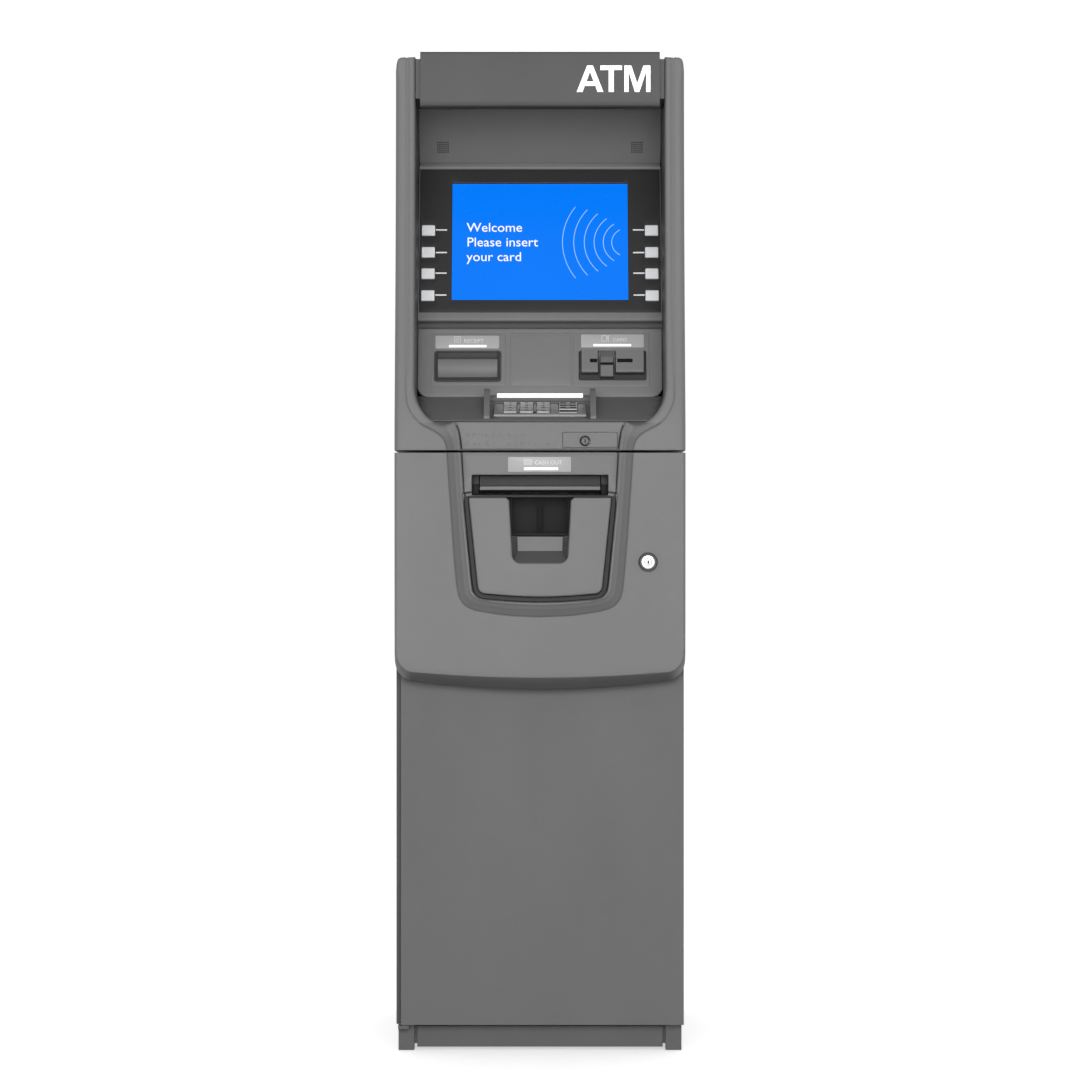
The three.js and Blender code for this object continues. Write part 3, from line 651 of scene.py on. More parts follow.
def screw(name, x, y, z, r, body, mat="zinc", frame_m=WORLD, axis="Y", sign=-1, h=1.6):
    """pan-head screw with a cross recess; sign is the way its head faces along the axis"""
    bm = bmesh.new()
    n = 20
    prof = [(r, 0.0), (r, 0.45 * h), (r * 0.86, 0.8 * h), (r * 0.5, h)]
    rings = []
    for pr, t in prof:
        rings.append([bm.verts.new((pr * math.cos(2 * math.pi * i / n), pr * math.sin(2 * math.pi * i / n), t)) for i in range(n)])
    for k in range(len(prof) - 1):
        for i in range(n):
            bm.faces.new((rings[k][i], rings[k][(i + 1) % n], rings[k + 1][(i + 1) % n], rings[k + 1][i]))
    w, L = r * 0.13, r * 0.44
    cross = [(w, w), (w, L), (-w, L), (-w, w), (-L, w), (-L, -w), (-w, -w), (-w, -L), (w, -L), (w, -w), (L, -w), (L, w)]
    top = [bm.verts.new((a, b, h)) for a, b in cross]
    bot = [bm.verts.new((a * 0.7, b * 0.7, h * 0.35)) for a, b in cross]
    vs, _, tris, *_ = delaunay_2d_cdt([Vector((v.co.x, v.co.y)) for v in rings[-1]] + [Vector(c) for c in cross], [(i, (i + 1) % n) for i in range(n)] + [(n + i, n + (i + 1) % 12) for i in range(12)], [], 0, 1e-6, False)
    pool = rings[-1] + top
    cc = [sum((Vector((vs[i].x, vs[i].y)) for i in q), Vector((0, 0))) / 3 for q in tris]
    keep = ~inside([c.x for c in cc], [c.y for c in cc], cross)
    for q, k in zip(tris, keep):
        if k:
            bm.faces.new([pool[i] for i in q])
    for i in range(12):
        bm.faces.new((top[i], top[(i + 1) % 12], bot[(i + 1) % 12], bot[i]))
    bm.faces.new(bot)
    base = bm.faces.new(rings[0][::-1])
    base.smooth = False
    bmesh.ops.recalc_face_normals(bm, faces=bm.faces)
    rot = {"Y": Matrix.Rotation(math.pi / 2 * (1 if sign < 0 else -1), 4, "X"), "X": Matrix.Rotation(math.pi / 2 * sign, 4, "Y"), "Z": Matrix.Rotation(0 if sign > 0 else math.pi, 4, "X")}[axis]
    return place(name, mesh_from_bm(name, bm), mat, body, frame_m @ Matrix.Translation((x, y, z)) @ rot)


# ------------------------------------------------------------------ shared lines of the two fascias (right half, mm)
C_PATH = catmull([(183.4, 1392), (183.4, 1250), (183.4, 1100), (183.8, 980), (184.8, 928), (184.4, 906), (181.2, 893.5), (174.2, 880.5), (162.5, 868.5), (150, 861.8), (140, 856), (132.5, 848.5), (129, 839.5), (127.6, 830.7), (125, 790), (121.4, 737.4), (117.3, 682.6), (113.2, 641.4), (107.5, 625.5), (96, 616), (75, 610.8), (40, 606.2), (0, 604.4)], 2.5)
R_PATH = catmull([(123.5, 878), (119.0, 868), (115.2, 856), (113, 843), (111.8, 830), (109, 785), (105.6, 737.4), (100.8, 682.6), (96.8, 646), (92.6, 635.5), (83.5, 629.2), (60, 625.2), (30, 622.4), (0, 621.5)], 2.5)
SEAM_LO, SEAM_HI = 830.0, 833.0
PANEL_OUT = rounded([(-98.5, 768.5), (-85, 636.5, 11), (0, 629.5, 600), (85, 636.5, 11), (98.5, 768.5)], 8)
C_LOOP = np.concatenate([C_PATH, mirror_path(C_PATH)[::-1][1:]])
R_LOOP = np.concatenate([R_PATH, mirror_path(R_PATH)[::-1][1:]])


def signed(px, pz, path):
    """distance to the symmetric path, positive on its inner side"""
    d = pdist(np.abs(px), pz, path)
    loop = [tuple(p) for p in path] + [(-a, b) for a, b in path[::-1]]
    return np.where(inside(px, pz, loop), d, -d)


def round_over(t, r):
    t = np.clip(t, 0, r)
    return r - np.sqrt(np.maximum(r * r - (r - t) ** 2, 0))


def split(path, lo, hi):
    """the runs of the half path whose points lie between two heights"""
    p = np.asarray(path)
    idx = np.where((p[:, 1] >= lo) & (p[:, 1] <= hi))[0]
    runs = np.split(idx, np.where(np.diff(idx) > 1)[0] + 1)
    out = []
    for r in runs:
        if len(r) < 2:
            continue
        out.append(p[r])
    return out


def both(polys):
    return [(q, False) for p in polys for q in (p, mirror_path(p))]


# ------------------------------------------------------------------ dispenser fascia
HINGE_CUTS = [661.4, 661.7, 675.8, 676.1, 782.4, 782.7, 796.8, 797.1]  # heights where the left wall makes room for the hinge arms


def lower_outline(xs, z0, k, cx, ry, n_side=28):
    pts = [(x, z0 + k * x * x) for x in np.linspace(0, cx, 24)]
    zc = z0 + k * cx * cx
    rxx = xs - cx
    pts += [(cx + rxx * math.sin(a), zc + ry - ry * math.cos(a)) for a in np.linspace(0, math.pi / 2, 13)[1:]]
    pts += [(xs, z) for z in sorted(list(np.linspace(zc + ry, SEAM_LO, n_side)[1:]) + HINGE_CUTS)]
    return np.array(pts)


O_HALF = lower_outline(200.0, 504.2, 0.000375, 176, 29.0)
F_HALF = lower_outline(196.6, 521.0, 0.000255, 174, 27.0)
O_FULL = [tuple(p) for p in np.concatenate([mirror_path(O_HALF)[::-1][:-1], O_HALF])]
F_FULL = [tuple(p) for p in np.concatenate([mirror_path(F_HALF)[::-1][:-1], F_HALF])]
LOCK = (148.3, 679.8)
MOUTH = rrect(-93.5, 93.5, 771.7, 799.2, 1.6, 3)
PANEL_HOLE = grow(PANEL_OUT, 0.5)
LABEL_CASH = (-44.0, 42.6, 803.3, 823.9)


def f_lower(x, z):
    base = 7 + (SEAM_LO - z) * 5 / 306
    sC, sR = signed(x, z, C_PATH), signed(x, z, R_PATH)
    aR = np.abs(sR)
    u = np.clip(sC / np.maximum(sC + aR, 1e-6), 0, 1)
    rise = np.where(sC > 0, u ** 1.35, 0)
    d = base + (0.7 - base) * np.where(sR > 0, 1, rise)
    d = np.where(sR > 0, 0.7 + 2.5 * sstep(1.6, 4.6, sR), d)
    d = d + 0.55 * np.exp(-((aR) / 1.7) ** 2) * -1.0
    d = d + 1.3 * np.exp(-((sR - 4.6) / 0.9) ** 2) * sstep(772, 800, z)
    d = d + 1.0 * np.exp(-(sC / 0.85) ** 2)
    # gutter round the cash panel
    tp = np.where(inside(x, z, PANEL_OUT), 0, pdist(x, z, PANEL_OUT, True))
    g = 1 - sstep(5.6, 8.4, tp)
    d = d * (1 - g) + (12.0) * g
    # mouth edge
    d = d + round_over(np.where(inside(x, z, MOUTH), 0, pdist(x, z, MOUTH, True)), 1.5)
    # lock seat
    rl = np.hypot(x - LOCK[0], z - LOCK[1])
    d = d + round_over(rl - 12.6, 1.0)
    # chamfered lower edge and rounded sides
    tO, tF = pdist(x, z, O_FULL), pdist(x, z, F_FULL)
    out = ~inside(x, z, F_FULL)
    ub = tO / np.maximum(tO + tF, 1e-6)
    k = 1 - sstep(524, 560, z)
    depth = 6.5 + 25 * k
    e = 2.2 - 1.0 * k
    d = d + np.where(out, depth * (1 - ub) ** e, 0) + 0.5 * np.exp(-(tF / 2.0) ** 2) * k
    # seam edge
    d = d + round_over(SEAM_LO - z, 1.2)
    return d


rings = []
nC, nR = None, None
for lo, hi in ((500, SEAM_LO - 0.01),):
    c = split(C_PATH, lo, hi)[0]
    c = np.concatenate([[[np.interp(SEAM_LO, c[::-1][-3:][:, 1], c[::-1][-3:][:, 0]), SEAM_LO]], c])
    r = split(R_PATH, lo, hi)[0]
    r = np.concatenate([[[r[0][0] + (SEAM_LO - r[0][1]) * 0.06, SEAM_LO]], r])
    cr, rr_ = resample(c, 130), resample(r, 130)
    loops = []
    for w in (-2.4, -1.3, -0.6, 0, 0.6, 1.3):
        loops.append(side_offset(cr, -w))
    for u in (0.18, 0.3, 0.42, 0.54, 0.66, 0.77, 0.87, 0.94, 1.0):
        loops.append(cr + (rr_ - cr) * u)
    for w in (0.7, 1.4, 2.1, 2.9, 3.7, 4.5, 5.3, 6.3):
        loops.append(side_offset(rr_, -w))
    for l in loops:
        l = np.array([p for p in l if p[1] <= SEAM_LO and p[0] >= 0])
        l[-1, 0] = 0 if l[-1, 0] < 3 else l[-1, 0]
        rings += both([l])
for u in (0.06, 0.14, 0.24, 0.36, 0.5, 0.66, 0.82, 1.0):
    l = O_HALF + (F_HALF - O_HALF) * u
    l = np.array([p for p in l if p[1] <= SEAM_LO])
    rings += both([l])
rings += both([np.array([(p[0] - 2.0 * (1 if p[1] > 552 else 0), p[1] + (2.2 if p[1] < 552 else 0)) for p in F_HALF if p[0] > 1])])
for w in (1.5, 3.2, 5.0, 5.6, 6.1, 6.6, 7.1, 7.6, 8.1, 8.6):
    rings.append((grow(PANEL_OUT, w), True))
for w in (0.15, 0.45, 0.9, 1.5):
    rings.append((grow(MOUTH, w), True))
for w in (12.75, 13.0, 13.3, 13.7):
    rings.append((circle(*LOCK, w, 36), True))
for w in (0.15, 0.4, 0.8, 1.25):
    rings.append(([(x, SEAM_LO - w) for x in np.linspace(-199.9, 199.9, 90)], False))
v, d, t, border = relief(O_FULL, [MOUTH, PANEL_HOLE, circle(*LOCK, 12.6, 36)], rings, f_lower, 9.0, 3.2)
verts, faces = lift(v, d), [tuple(q) for q in t]


def low_wall(x, z):
    if abs(x) < 105 and 625 < z < 772 and not (z > 771):
        return (x, 26.0, z)
    if abs(x) < 95 and 770 < z < 800:
        return (x * 0.998, 40.0 if z < 790 else 20.5, z)
    if math.hypot(x - LOCK[0], z - LOCK[1]) < 13.5:
        return (x, 26.0, z)
    if x < -199 and (661.5 < z < 676.0 or 782.5 < z < 797.0):
        return (x, 49.4, z)
    return (x, 65.5, z)


walls(verts, faces, border, low_wall, v)
lower = make("dispenser_fascia", verts, faces, "grey", "lower_door", replaces="lower_fascia", slot="grey_plastic", angle=38)


def in_gutter(c, n):
    if c.z > 771.0 or c.z < 615 or abs(c.x) > 112:
        return False
    a, b = np.array([c.x]), np.array([c.z])
    return bool((inside(a, b, PANEL_OUT) | (pdist(a, b, PANEL_OUT, True) < 6.9))[0])


# the gutter round the cash panel gets the dark groove grey: painted shade in the gutter
second_mat(lower, "groove_shade", in_gutter)


def band_shade(x, z, d):
    """outer half of the ridge, which lies back from the light; its faces are painted darker as shade"""
    sC, sR = signed(x, z, C_PATH), signed(x, z, R_PATH)
    u = np.clip(sC / np.maximum(sC + np.abs(sR), 1e-6), 0, 1)
    return (sC > -0.8) & (sR < 0) & (u < 0.6) & (z < 871) & (d < 12)


def band_line(x, z, d):
    """the thin channel inside the ridge, painted dark as shade"""
    sR = signed(x, z, R_PATH)
    return (sR > 3.2) & (sR < 5.4) & (z < 871) & (z > 620) & (d < 12)


def chamfer_low(x, z, d):
    return (z < 560) & ~inside(x, z, F_FULL) & (d > 13)


# painted shade on the dispenser fascia: the ridge's outer half, the channel inside it and the lower chamfer get darker
# greys
paint(lower, "grey_shade", band_shade)
paint(lower, "groove_shade", band_line)
paint(lower, "shelf", chamfer_low)
solidify(lower, 2.6)

# cash panel with its notch and pocket
P_OUT = rounded([(-98.0, 768.2, 2.0), (-84.6, 637.0, 11), (0, 630.0, 600), (84.6, 637.0, 11), (98.0, 768.2, 2.0), (46.5, 768.2, 3.2), (42.3, 764, 0), (37.6, 678.2, 12), (-37.6, 678.2, 12), (-42.3, 764, 0), (-46.5, 768.2, 3.2)], 7)


def f_panel(x, z):
    t = pdist(x, z, P_OUT, True)
    d = 1.4 + round_over(t, 2.4)
    return d + 1.6 * sstep(0, 1, (700 - z) / 260) ** 2


prings = [(grow(P_OUT, -w), True) for w in (0.12, 0.4, 0.85, 1.5, 2.4)]
v, d, t, border = relief(P_OUT, [], prings, f_panel, 8.0, 2.5)
verts, faces = lift(v, d), [tuple(q) for q in t]


def p_wall(x, z):
    if abs(x) < 44.5 and z > 676 and z < 767.9:
        return (x * 0.985, 29.5, z)
    return (x, 14.5, z)


walls(verts, faces, border, p_wall, v)
panel = make("cash_panel_skin", verts, faces, "grey", "lower_door", replaces="cash_panel", slot="grey_plastic", angle=38)
solidify(panel, 1.8)
# pocket behind the notch: sloped lip, light back wall with a dark frame; the black top and the dark frame are painted
# shade inside the pocket
bm = bmesh.new()
rows_p = [(719.0, 30.0, 40.5), (716.2, 30.4, 40.3), (714.6, 33.5, 31.2), (695.0, 34.0, 30.6), (692.6, 32.0, 31.8), (680.0, 15.0, 36.6), (678.2, 13.6, 36.4)]
prev = None
for z, dd, hx in rows_p:
    row = [bm.verts.new((hx * s, Y(dd), z)) for s in (-1, -0.93, -0.5, 0, 0.5, 0.93, 1)]
    if prev:
        for i in range(6):
            bm.faces.new((prev[i], prev[i + 1], row[i + 1], row[i]))
    prev = row
for f in bm.faces:
    f.normal_flip()
pocket = place("pocket_floor", mesh_from_bm("pocket_floor", bm), "grey", "lower_door", slot="grey_plastic", angle=30, recalc=False)
second_mat(pocket, "black", lambda c, n: c.z > 713)
second_mat(pocket, "recess_shade", lambda c, n: c.z < 694.5 or (c.z < 713 and abs(c.x) > 30.2))

# ------------------------------------------------------------------ customer fascia
CHEEK_Z = [833, 872, 920, 980, 1060, 1150, 1250, 1330, 1380]
CHEEK_D = [7, 9, 17, 28, 42, 54, 62, 66, 68]
_pp = catmull(list(zip(CHEEK_Z, CHEEK_D)), 4.0)
E_HALF = catmull([(0, 872), (60, 872), (112, 872), (119.5, 871.6), (124.5, 869.6), (130.5, 868.4), (139, 869.6), (147.5, 873.4), (155.5, 879.8), (162, 887.6), (167.4, 896.6), (171, 906.5), (172.8, 918), (173, 930)], 1.8)
E_HALF = np.concatenate([E_HALF, [(173.0, z) for z in np.linspace(945, 1366, 30)]])
U_TOP = 1380.0


def upper_half():
    side = [(200.0, z) for z in np.linspace(SEAM_HI, 1354.8, 40)] + [(200.0, 1355.1), (200.0, 1360.0)]
    corner = [(199.5, 1366.0), (198.9, 1371.0), (198.0, 1375.0), (196.6, 1377.6), (194.4, 1379.1), (191.5, 1379.8), (187.5, U_TOP)]
    top = [(186.2, U_TOP - 0.3), (185.2, U_TOP - 1.0), (184.2, U_TOP - 0.3), (183.0, U_TOP), (178, U_TOP), (173, U_TOP)]
    return side + corner + top


UH = upper_half()
U_OUT = UH + [tuple(p) for p in E_HALF[::-1]] + [(-a, b) for a, b in E_HALF[1:]] + [(-a, b) for a, b in UH[::-1]]
OUT_EDGE = UH[:-1]
E_LINE = np.concatenate([E_HALF, [(173.0, U_TOP)]])


def f_upper(x, z):
    ax = np.abs(x)
    base = np.interp(z, _pp[:, 0], _pp[:, 1])
    sC, sR = signed(x, z, C_PATH), signed(x, z, R_PATH)
    sR = np.where(z > 873, -np.abs(sR), sR)
    w = 1 - sstep(846, 871, z)
    u = np.clip(sC / np.maximum(sC + np.abs(sR), 1e-6), 0, 1)
    rise = np.where(sC > 0, u ** 1.35, 0)
    d_r = base + (0.7 - base) * w
    d = base + (0.7 - base) * w * rise
    d = np.where(sR > 0, d_r + (3.2 - d_r) * sstep(1.6, 4.6, sR), d)
    d = d - 0.55 * np.exp(-(np.abs(sR) / 1.7) ** 2) * w
    d = d + 1.3 * np.exp(-((sR - 4.6) / 0.9) ** 2) * (z < 871)
    zc = sstep(905, 960, z)
    d = d + (1 - zc) * 1.0 * np.exp(-(sC / 0.85) ** 2) + zc * 1.25 * np.exp(-(sC / 2.3) ** 2)
    te = pdist(ax, z, E_LINE)
    r = 2.0 + 2.6 * sstep(112, 135, ax)
    d = d + np.where(te < r, r - np.sqrt(np.maximum(r * r - (r - te) ** 2, 0)), 0)
    to = pdist(ax, z, OUT_EDGE)
    d = d + round_over(to, 7.0 - 4.0 * sstep(1345, 1372, z))
    d = d + round_over(z - SEAM_HI, 1.2)
    return d


urings = []
c = split(C_PATH, SEAM_HI + 0.01, 1380)[0][::-1]
c = np.concatenate([[[c[0][0] - 0.02, SEAM_HI]], c])
r = split(R_PATH, SEAM_HI + 0.01, 876)[0][::-1]
r = np.concatenate([[[r[0][0] - 0.05, SEAM_HI]], r])
for wv in (-2.8, -1.7, -0.9, -0.4, 0, 0.4, 0.9, 1.7, 2.8):
    urings += both([side_offset(resample(c, 260), wv)])
cl = c[c[:, 1] < 868]
for u in (0.2, 0.35, 0.5, 0.65, 0.78, 0.88, 0.95, 1.0):
    a, b = resample(cl, 40), resample(r, 40)
    urings += both([a + (b - a) * u])
for wv in (0.7, 1.4, 2.1, 2.9, 3.7, 4.2, 4.6, 5.0, 5.6, 6.6):
    urings += both([side_offset(resample(r, 40), wv)])
el = resample(E_LINE, 300)
for wv in (0.12, 0.4, 0.9, 1.7, 2.8, 4.6, 5.6):
    urings += both([side_offset(el, -wv)])
oe = np.array([p for p in OUT_EDGE])
oe = resample(oe, 140)
for wv in (0.15, 0.5, 1.1, 2.0, 3.2, 4.8, 7.0):
    urings += both([side_offset(oe, wv)])
for wv in (0.15, 0.4, 0.8, 1.25):
    urings.append(([(x, SEAM_HI + wv) for x in np.linspace(-199.9, 199.9, 90)], False))
PLATE_SEAT = rrect(30.4, 106.6, 836.4, 858.1, 2.0, 3)
v, d, t, border = relief(U_OUT, [PLATE_SEAT], urings, f_upper, 9.0, 2.6)
verts, faces = lift(v, d), [tuple(q) for q in t]


def shelf_d(z):
    return 14 + (z - 872) * 126 / 38


def up_wall(x, z):
    ax = abs(x)
    if 30 < x < 107 and 836 < z < 858.5:
        return (x, 10.9, z)
    on_e = ax < 174 and z > 860 and (abs(pdist(np.array([ax]), np.array([z]), E_LINE)[0]) < 0.3) and z < 1379.5
    if on_e and z < 912:
        if z < 873.8:
            return (x, 20.0, 873.8)
        return (x, max(20.0, min(139.4, shelf_d(z))), z)
    if x < -198 and 1355.0 < z < 1371.2:
        return (x, 212.4, z)
    return (x, 229.5, z)


walls(verts, faces, border, up_wall, v)
# shelf floor, in a darker grey: painted shade of the recess
floor_pts = []
for x, z in E_HALF:
    if z <= 873.8:
        floor_pts.append((x, 20.0))
    elif z < 911:
        floor_pts.append((x, max(20.0, min(139.4, shelf_d(z)))))
floor_pts.append((173.0, 150.0))
fl = [(a, b) for a, b in floor_pts] + [(-a, b) for a, b in floor_pts[::-1] if a > 0.001]
clean = []
for p in fl:
    if not clean or abs(clean[-1][0] - p[0]) + abs(clean[-1][1] - p[1]) > 1e-4:
        clean.append(p)


def f_floor(x, dd):
    return 872 + (np.maximum(dd, 19.9) - 14) * 38 / 126


v2, z2, t2, _b2 = relief(clean, [[(-64.5, 38.8), (64.5, 38.8), (64.5, 113), (-64.5, 113)]], [], f_floor, 12.0, 4.0)
shelf_floor = make("shelf_floor", [(x, Y(dd), zz) for (x, dd), zz in zip(v2, z2)], [tuple(q) for q in t2], "shelf", "upper_door", slot="grey_plastic", angle=38)
solidify(shelf_floor, 1.6)
upper = make("customer_fascia", verts, faces, "grey", "upper_door", replaces="upper_fascia", slot="grey_plastic", angle=38)
# painted shade on the customer fascia: the ridge's outer half and the channel inside it
paint(upper, "grey_shade", lambda x, z, d: band_shade(x, z, d) & (z > 833.5))
paint(upper, "groove_shade", lambda x, z, d: band_line(x, z, d) & (z > 833.5) & (z < 868))
solidify(upper, 2.2)

# ------------------------------------------------------------------ screen unit
def plate_with_holes(name, outline, holes, y0, y1, mat, body, frame_m, edge=0.6, **kw):
    """flat plate in the x-z plane of a frame, with rounded front edges round its outline and holes"""
    rr = []
    steps = (0.15, 0.5, 1.0)
    for s in steps:
        rr.append((grow(outline, -edge * s), True))
        rr += [(grow(h, edge * s), True) for h in holes]

    def f(x, z):
        t = pdist(x, z, outline, True)
        for h in holes:
            t = np.minimum(t, pdist(x, z, h, True))
        return y0 + round_over(t, edge)

    vv, dd, tt, bb = relief(outline, holes, rr, f, kw.pop("spacing", 14.0), 3.0)
    V = [(x, q, z) for (x, z), q in zip(vv, dd)]
    F = [tuple(q) for q in tt]
    new = {}
    back = {}
    for i, (x, z) in enumerate(vv):
        back[i] = len(V)
        V.append((x, y1, z))
    F += [(back[int(a)], back[int(c)], back[int(b)]) for a, b, c in tt]
    for a, b in bb:
        F.append((b, a, back[a], back[b]))
    return make(name, V, F, mat, body, frame_m, **kw)


FKEY_Z = [138.8, 104.8, 71.7, 37.9]
windows = [rrect(s * 158.7 - 9.7, s * 158.7 + 9.7, z - 8.15, z + 8.15, 1.6, 4) for s in (-1, 1) for z in FKEY_Z]
lcd_win = rrect(-125.1, 125.1, 31.4, 213.2, 0.8, 3)
plate_with_holes("display_bezel_skin", rrect(-170.9, 170.9, 11.5, 234.0, 1.5, 4), windows + [lcd_win], 0.7, 3.9, "bezel", "upper_door", SCREEN, 0.7, replaces="display_bezel", slot="dark_plastic")

def bar_x(name, prof, x0, x1, mat, body, frame_m, **kw):
    """closed profile [(y, z)] pulled along x"""
    n = len(prof)
    V = [(x0, a, b) for a, b in prof] + [(x1, a, b) for a, b in prof]
    F = [(i, (i + 1) % n, n + (i + 1) % n, n + i) for i in range(n)] + [tuple(range(n))[::-1], tuple(range(n, 2 * n))]
    return make(name, V, F, mat, body, frame_m, **kw)


bar_x("screen_frame_bottom", [(4.2, 10.9), (-1.4, 10.9), (-1.9, 10.3), (-1.9, 1.9), (-1.6, 0.6), (-0.8, -0.6), (0.6, -1.4), (6.6, -2.6), (7.4, -3.4), (7.4, -8.9), (7.9, -8.9), (7.9, 10.9)], -172.4, 172.4, "grey", "upper_door", SCREEN, replaces="screen_frame", slot="grey_plastic")
# the frame bar's downward faces get the dark recess grey: painted shade
second_mat(bpy.data.objects["screen_frame_bottom"], "recess_shade", lambda c, n: c.z < -1.6, SCREEN)
# the top frame bar gets the pale grey: painted light, a lit copy of the fascia grey
bar_x("screen_frame_top", [(4.2, 234.6), (-1.4, 234.6), (-1.9, 235.1), (-1.9, 237.4), (-1.5, 238.6), (-0.4, 239.7), (1.4, 240.3), (7.9, 240.3), (7.9, 234.6)], -172.4, 172.4, "grey_light", "upper_door", SCREEN, slot="grey_plastic")
for s in (-1, 1):
    rbox(f"screen_frame_side_{'l' if s < 0 else 'r'}", min(s * 171.3, s * 172.4), max(s * 171.3, s * 172.4), -1.7, 7.9, 10.9, 234.6, "grey", "upper_door", SCREEN, bevel=0.3, slot="grey_plastic")
    rbox(f"screen_frame_back_{'l' if s < 0 else 'r'}", min(s * 134.5, s * 171.3), max(s * 134.5, s * 171.3), 7.0, 7.9, 10.9, 234.6, "grey", "upper_door", SCREEN, bevel=0.2, slot="grey_plastic")
# display module and lit picture
rbox("lcd_module", -133.5, 133.5, 5.4, 25.5, 22.5, 221.5, "black", "upper_door", SCREEN, bevel=1.2, replaces="lcd_panel", slot="screen_gloss")
bm = bmesh.new()
g = rrect(-126.0, 126.0, 30.6, 214.2, 0.6, 2)
fr = [bm.verts.new((a, 4.35, b)) for a, b in g]
bk = [bm.verts.new((a, 5.3, b)) for a, b in g]
bm.faces.new(fr)
bm.faces.new(bk[::-1])
for i in range(len(g)):
    bm.faces.new((fr[i], fr[(i + 1) % len(g)], bk[(i + 1) % len(g)], bk[i]))
picture = place("display_picture", mesh_from_bm("display_picture", bm), "lcd", "upper_door", SCREEN, slot="screen_gloss")
picture.visible_diffuse = False
picture.visible_glossy = False
text("display_words", "Welcome\nPlease insert\nyour card", 20.0, -104.5, 4.25, 138.5, "lcd_text", "upper_door", SCREEN, 0.12, lines=1.14, bold=0.0)
arcs = ([], [])
for k, rad in enumerate((22, 34, 47, 61, 76, 92)):
    cx, cz = 124.0, 121.8
    n = 40
    a0, a1 = math.radians(180 - (62 - k * 5)), math.radians(180 + (62 - k * 5))
    pts = []
    for i in range(n + 1):
        a = a0 + (a1 - a0) * i / n
        x, z = cx + rad * math.cos(a), cz + rad * math.sin(a)
        if x < 123.2:
            pts.append((a, x, z))
    for (a, x, z), (b, x2, z2_) in zip(pts, pts[1:]):
        h = 0.42
        i0 = len(arcs[0])
        for (aa, xx, zz) in ((a, x, z), (b, x2, z2_)):
            ux, uz = math.cos(aa) * h, math.sin(aa) * h
            arcs[0].extend([(xx - ux, 4.2, zz - uz), (xx + ux, 4.2, zz + uz), (xx + ux, 4.33, zz + uz), (xx - ux, 4.33, zz - uz)])
        arcs[1].extend([(i0, i0 + 1, i0 + 5, i0 + 4), (i0 + 3, i0 + 7, i0 + 6, i0 + 2), (i0, i0 + 4, i0 + 7, i0 + 3), (i0 + 1, i0 + 2, i0 + 6, i0 + 5)])
make("display_arcs", arcs[0], arcs[1], "lcd_arc", "upper_door", SCREEN)
for s in (-1, 1):
    for i, z in enumerate(FKEY_Z):
        side = "left" if s < 0 else "right"
        node = f"function_key_{side}_{i + 1}"
        out = rrect(s * 158.7 - 9.25, s * 158.7 + 9.25, z - 7.75, z + 7.75, 1.2, 4)

        def f(x, zz, out=out):
            t = pdist(x, zz, out, True)
            return -0.7 + round_over(t, 0.9) - 0.35 * np.clip(t / 7.0, 0, 1)

        vv, dd, tt, bb = relief(out, [], [(grow(out, -w), True) for w in (0.1, 0.35, 0.8, 1.3)], f, 3.0, 1.2)
        V, F = [(x, q, zz) for (x, zz), q in zip(vv, dd)], [tuple(q) for q in tt]
        nb = {}
        for a, b in bb:
            for j in (a, b):
                if j not in nb:
                    nb[j] = len(V)
                    V.append((vv[j][0], 5.2, vv[j][1]))
            F.append((b, a, nb[a], nb[b]))
        # the key caps glow faintly: painted light, the keys are no lamps
        make(node + "_cap", V, F, "white_glow", node, SCREEN, replaces=node, slot="white_plastic", angle=40)
        zz = z + (0.8 if i != 1 else -0.4)
        rbox(f"key_mark_{side}_{i + 1}", s * 140.3 - 7.9, s * 140.3 + 7.9, 0.52, 0.72, zz - 1.0, zz + 1.0, "white_glow", "upper_door", SCREEN, bevel=0.0)

# ------------------------------------------------------------------ speaker panel
holes = []
for s in (-1, 1):
    for i in range(6):
        for j in range(6):
            holes.append(circle(s * 138.7 + (i - 2.5) * 2.9, 24.4 + (j - 2.5) * 2.9, 1.02, 10))
V0 = rrect(-172.3, 172.3, 1.2, 95.8, 1.0, 2)
vv, dd, tt, bb = relief(V0, holes, [], lambda x, z: 0.2 + 0 * x, 12.0, 4.0)
V, F = [(x, q, z) for (x, z), q in zip(vv, dd)], [tuple(q) for q in tt]
nb = {}
for a, b in bb:
    for j in (a, b):
        if j not in nb:
            nb[j] = len(V)
            V.append((vv[j][0], 2.6, vv[j][1]))
    F.append((b, a, nb[a], nb[b]))
# speaker panel in the darker fascia grey: painted shade under the sign's overhang
sp = make("speaker_panel_skin", V, F, "grey_shade", "upper_door", SPEAK, replaces="speaker_panel", slot="grey_plastic", angle=35)
# near-black discs behind the speaker holes: painted shadow
for s in (-1, 1):
    prism(f"speaker_mesh_{'l' if s < 0 else 'r'}", circle(s * 138.7, 24.4, 16, 32), 1.1, 9.0, "gap", "upper_door", SPEAK, bevel=0.8)

# sill in the darker fascia grey: painted shade
rbox("speaker_sill", -172.0, 172.0, Y(253.4), Y(255.0), 1241.0, 1256.0, "grey_shade", "upper_door", bevel=0.3)

# ------------------------------------------------------------------ sign
# the housing's downward faces take the charcoal bezel material: painted shade under the sign
refine("sign_housing", "sign", 1.6, 3, second=("bezel", lambda c, n: n.z < -0.45 and c.z < 1330))
bar_x("sign_face", [(Y(a), b) for a, b in ((64.6, 1386.5), (62.0, 1386.4), (60.8, 1385.9), (60.0, 1384.8), (59.8, 1383.2), (59.8, 1320.0), (60.2, 1317.0), (61.0, 1314.4), (62.3, 1312.2), (64.0, 1310.4), (66.2, 1309.1), (68.8, 1308.5), (72.0, 1308.3), (72.0, 1309.4), (67.4, 1311.3), (64.8, 1315.0), (64.6, 1319.0))], -165.9, 165.9, "sign", "upper_door", WORLD, replaces="sign_panel", slot="sign_plastic", angle=40)
# the face's top and bottom curl take the charcoal: painted shade
second_mat(bpy.data.objects["sign_face"], "bezel", lambda c, n: n.z > 0.35 or (n.z < -0.55 and c.z < 1312.0))


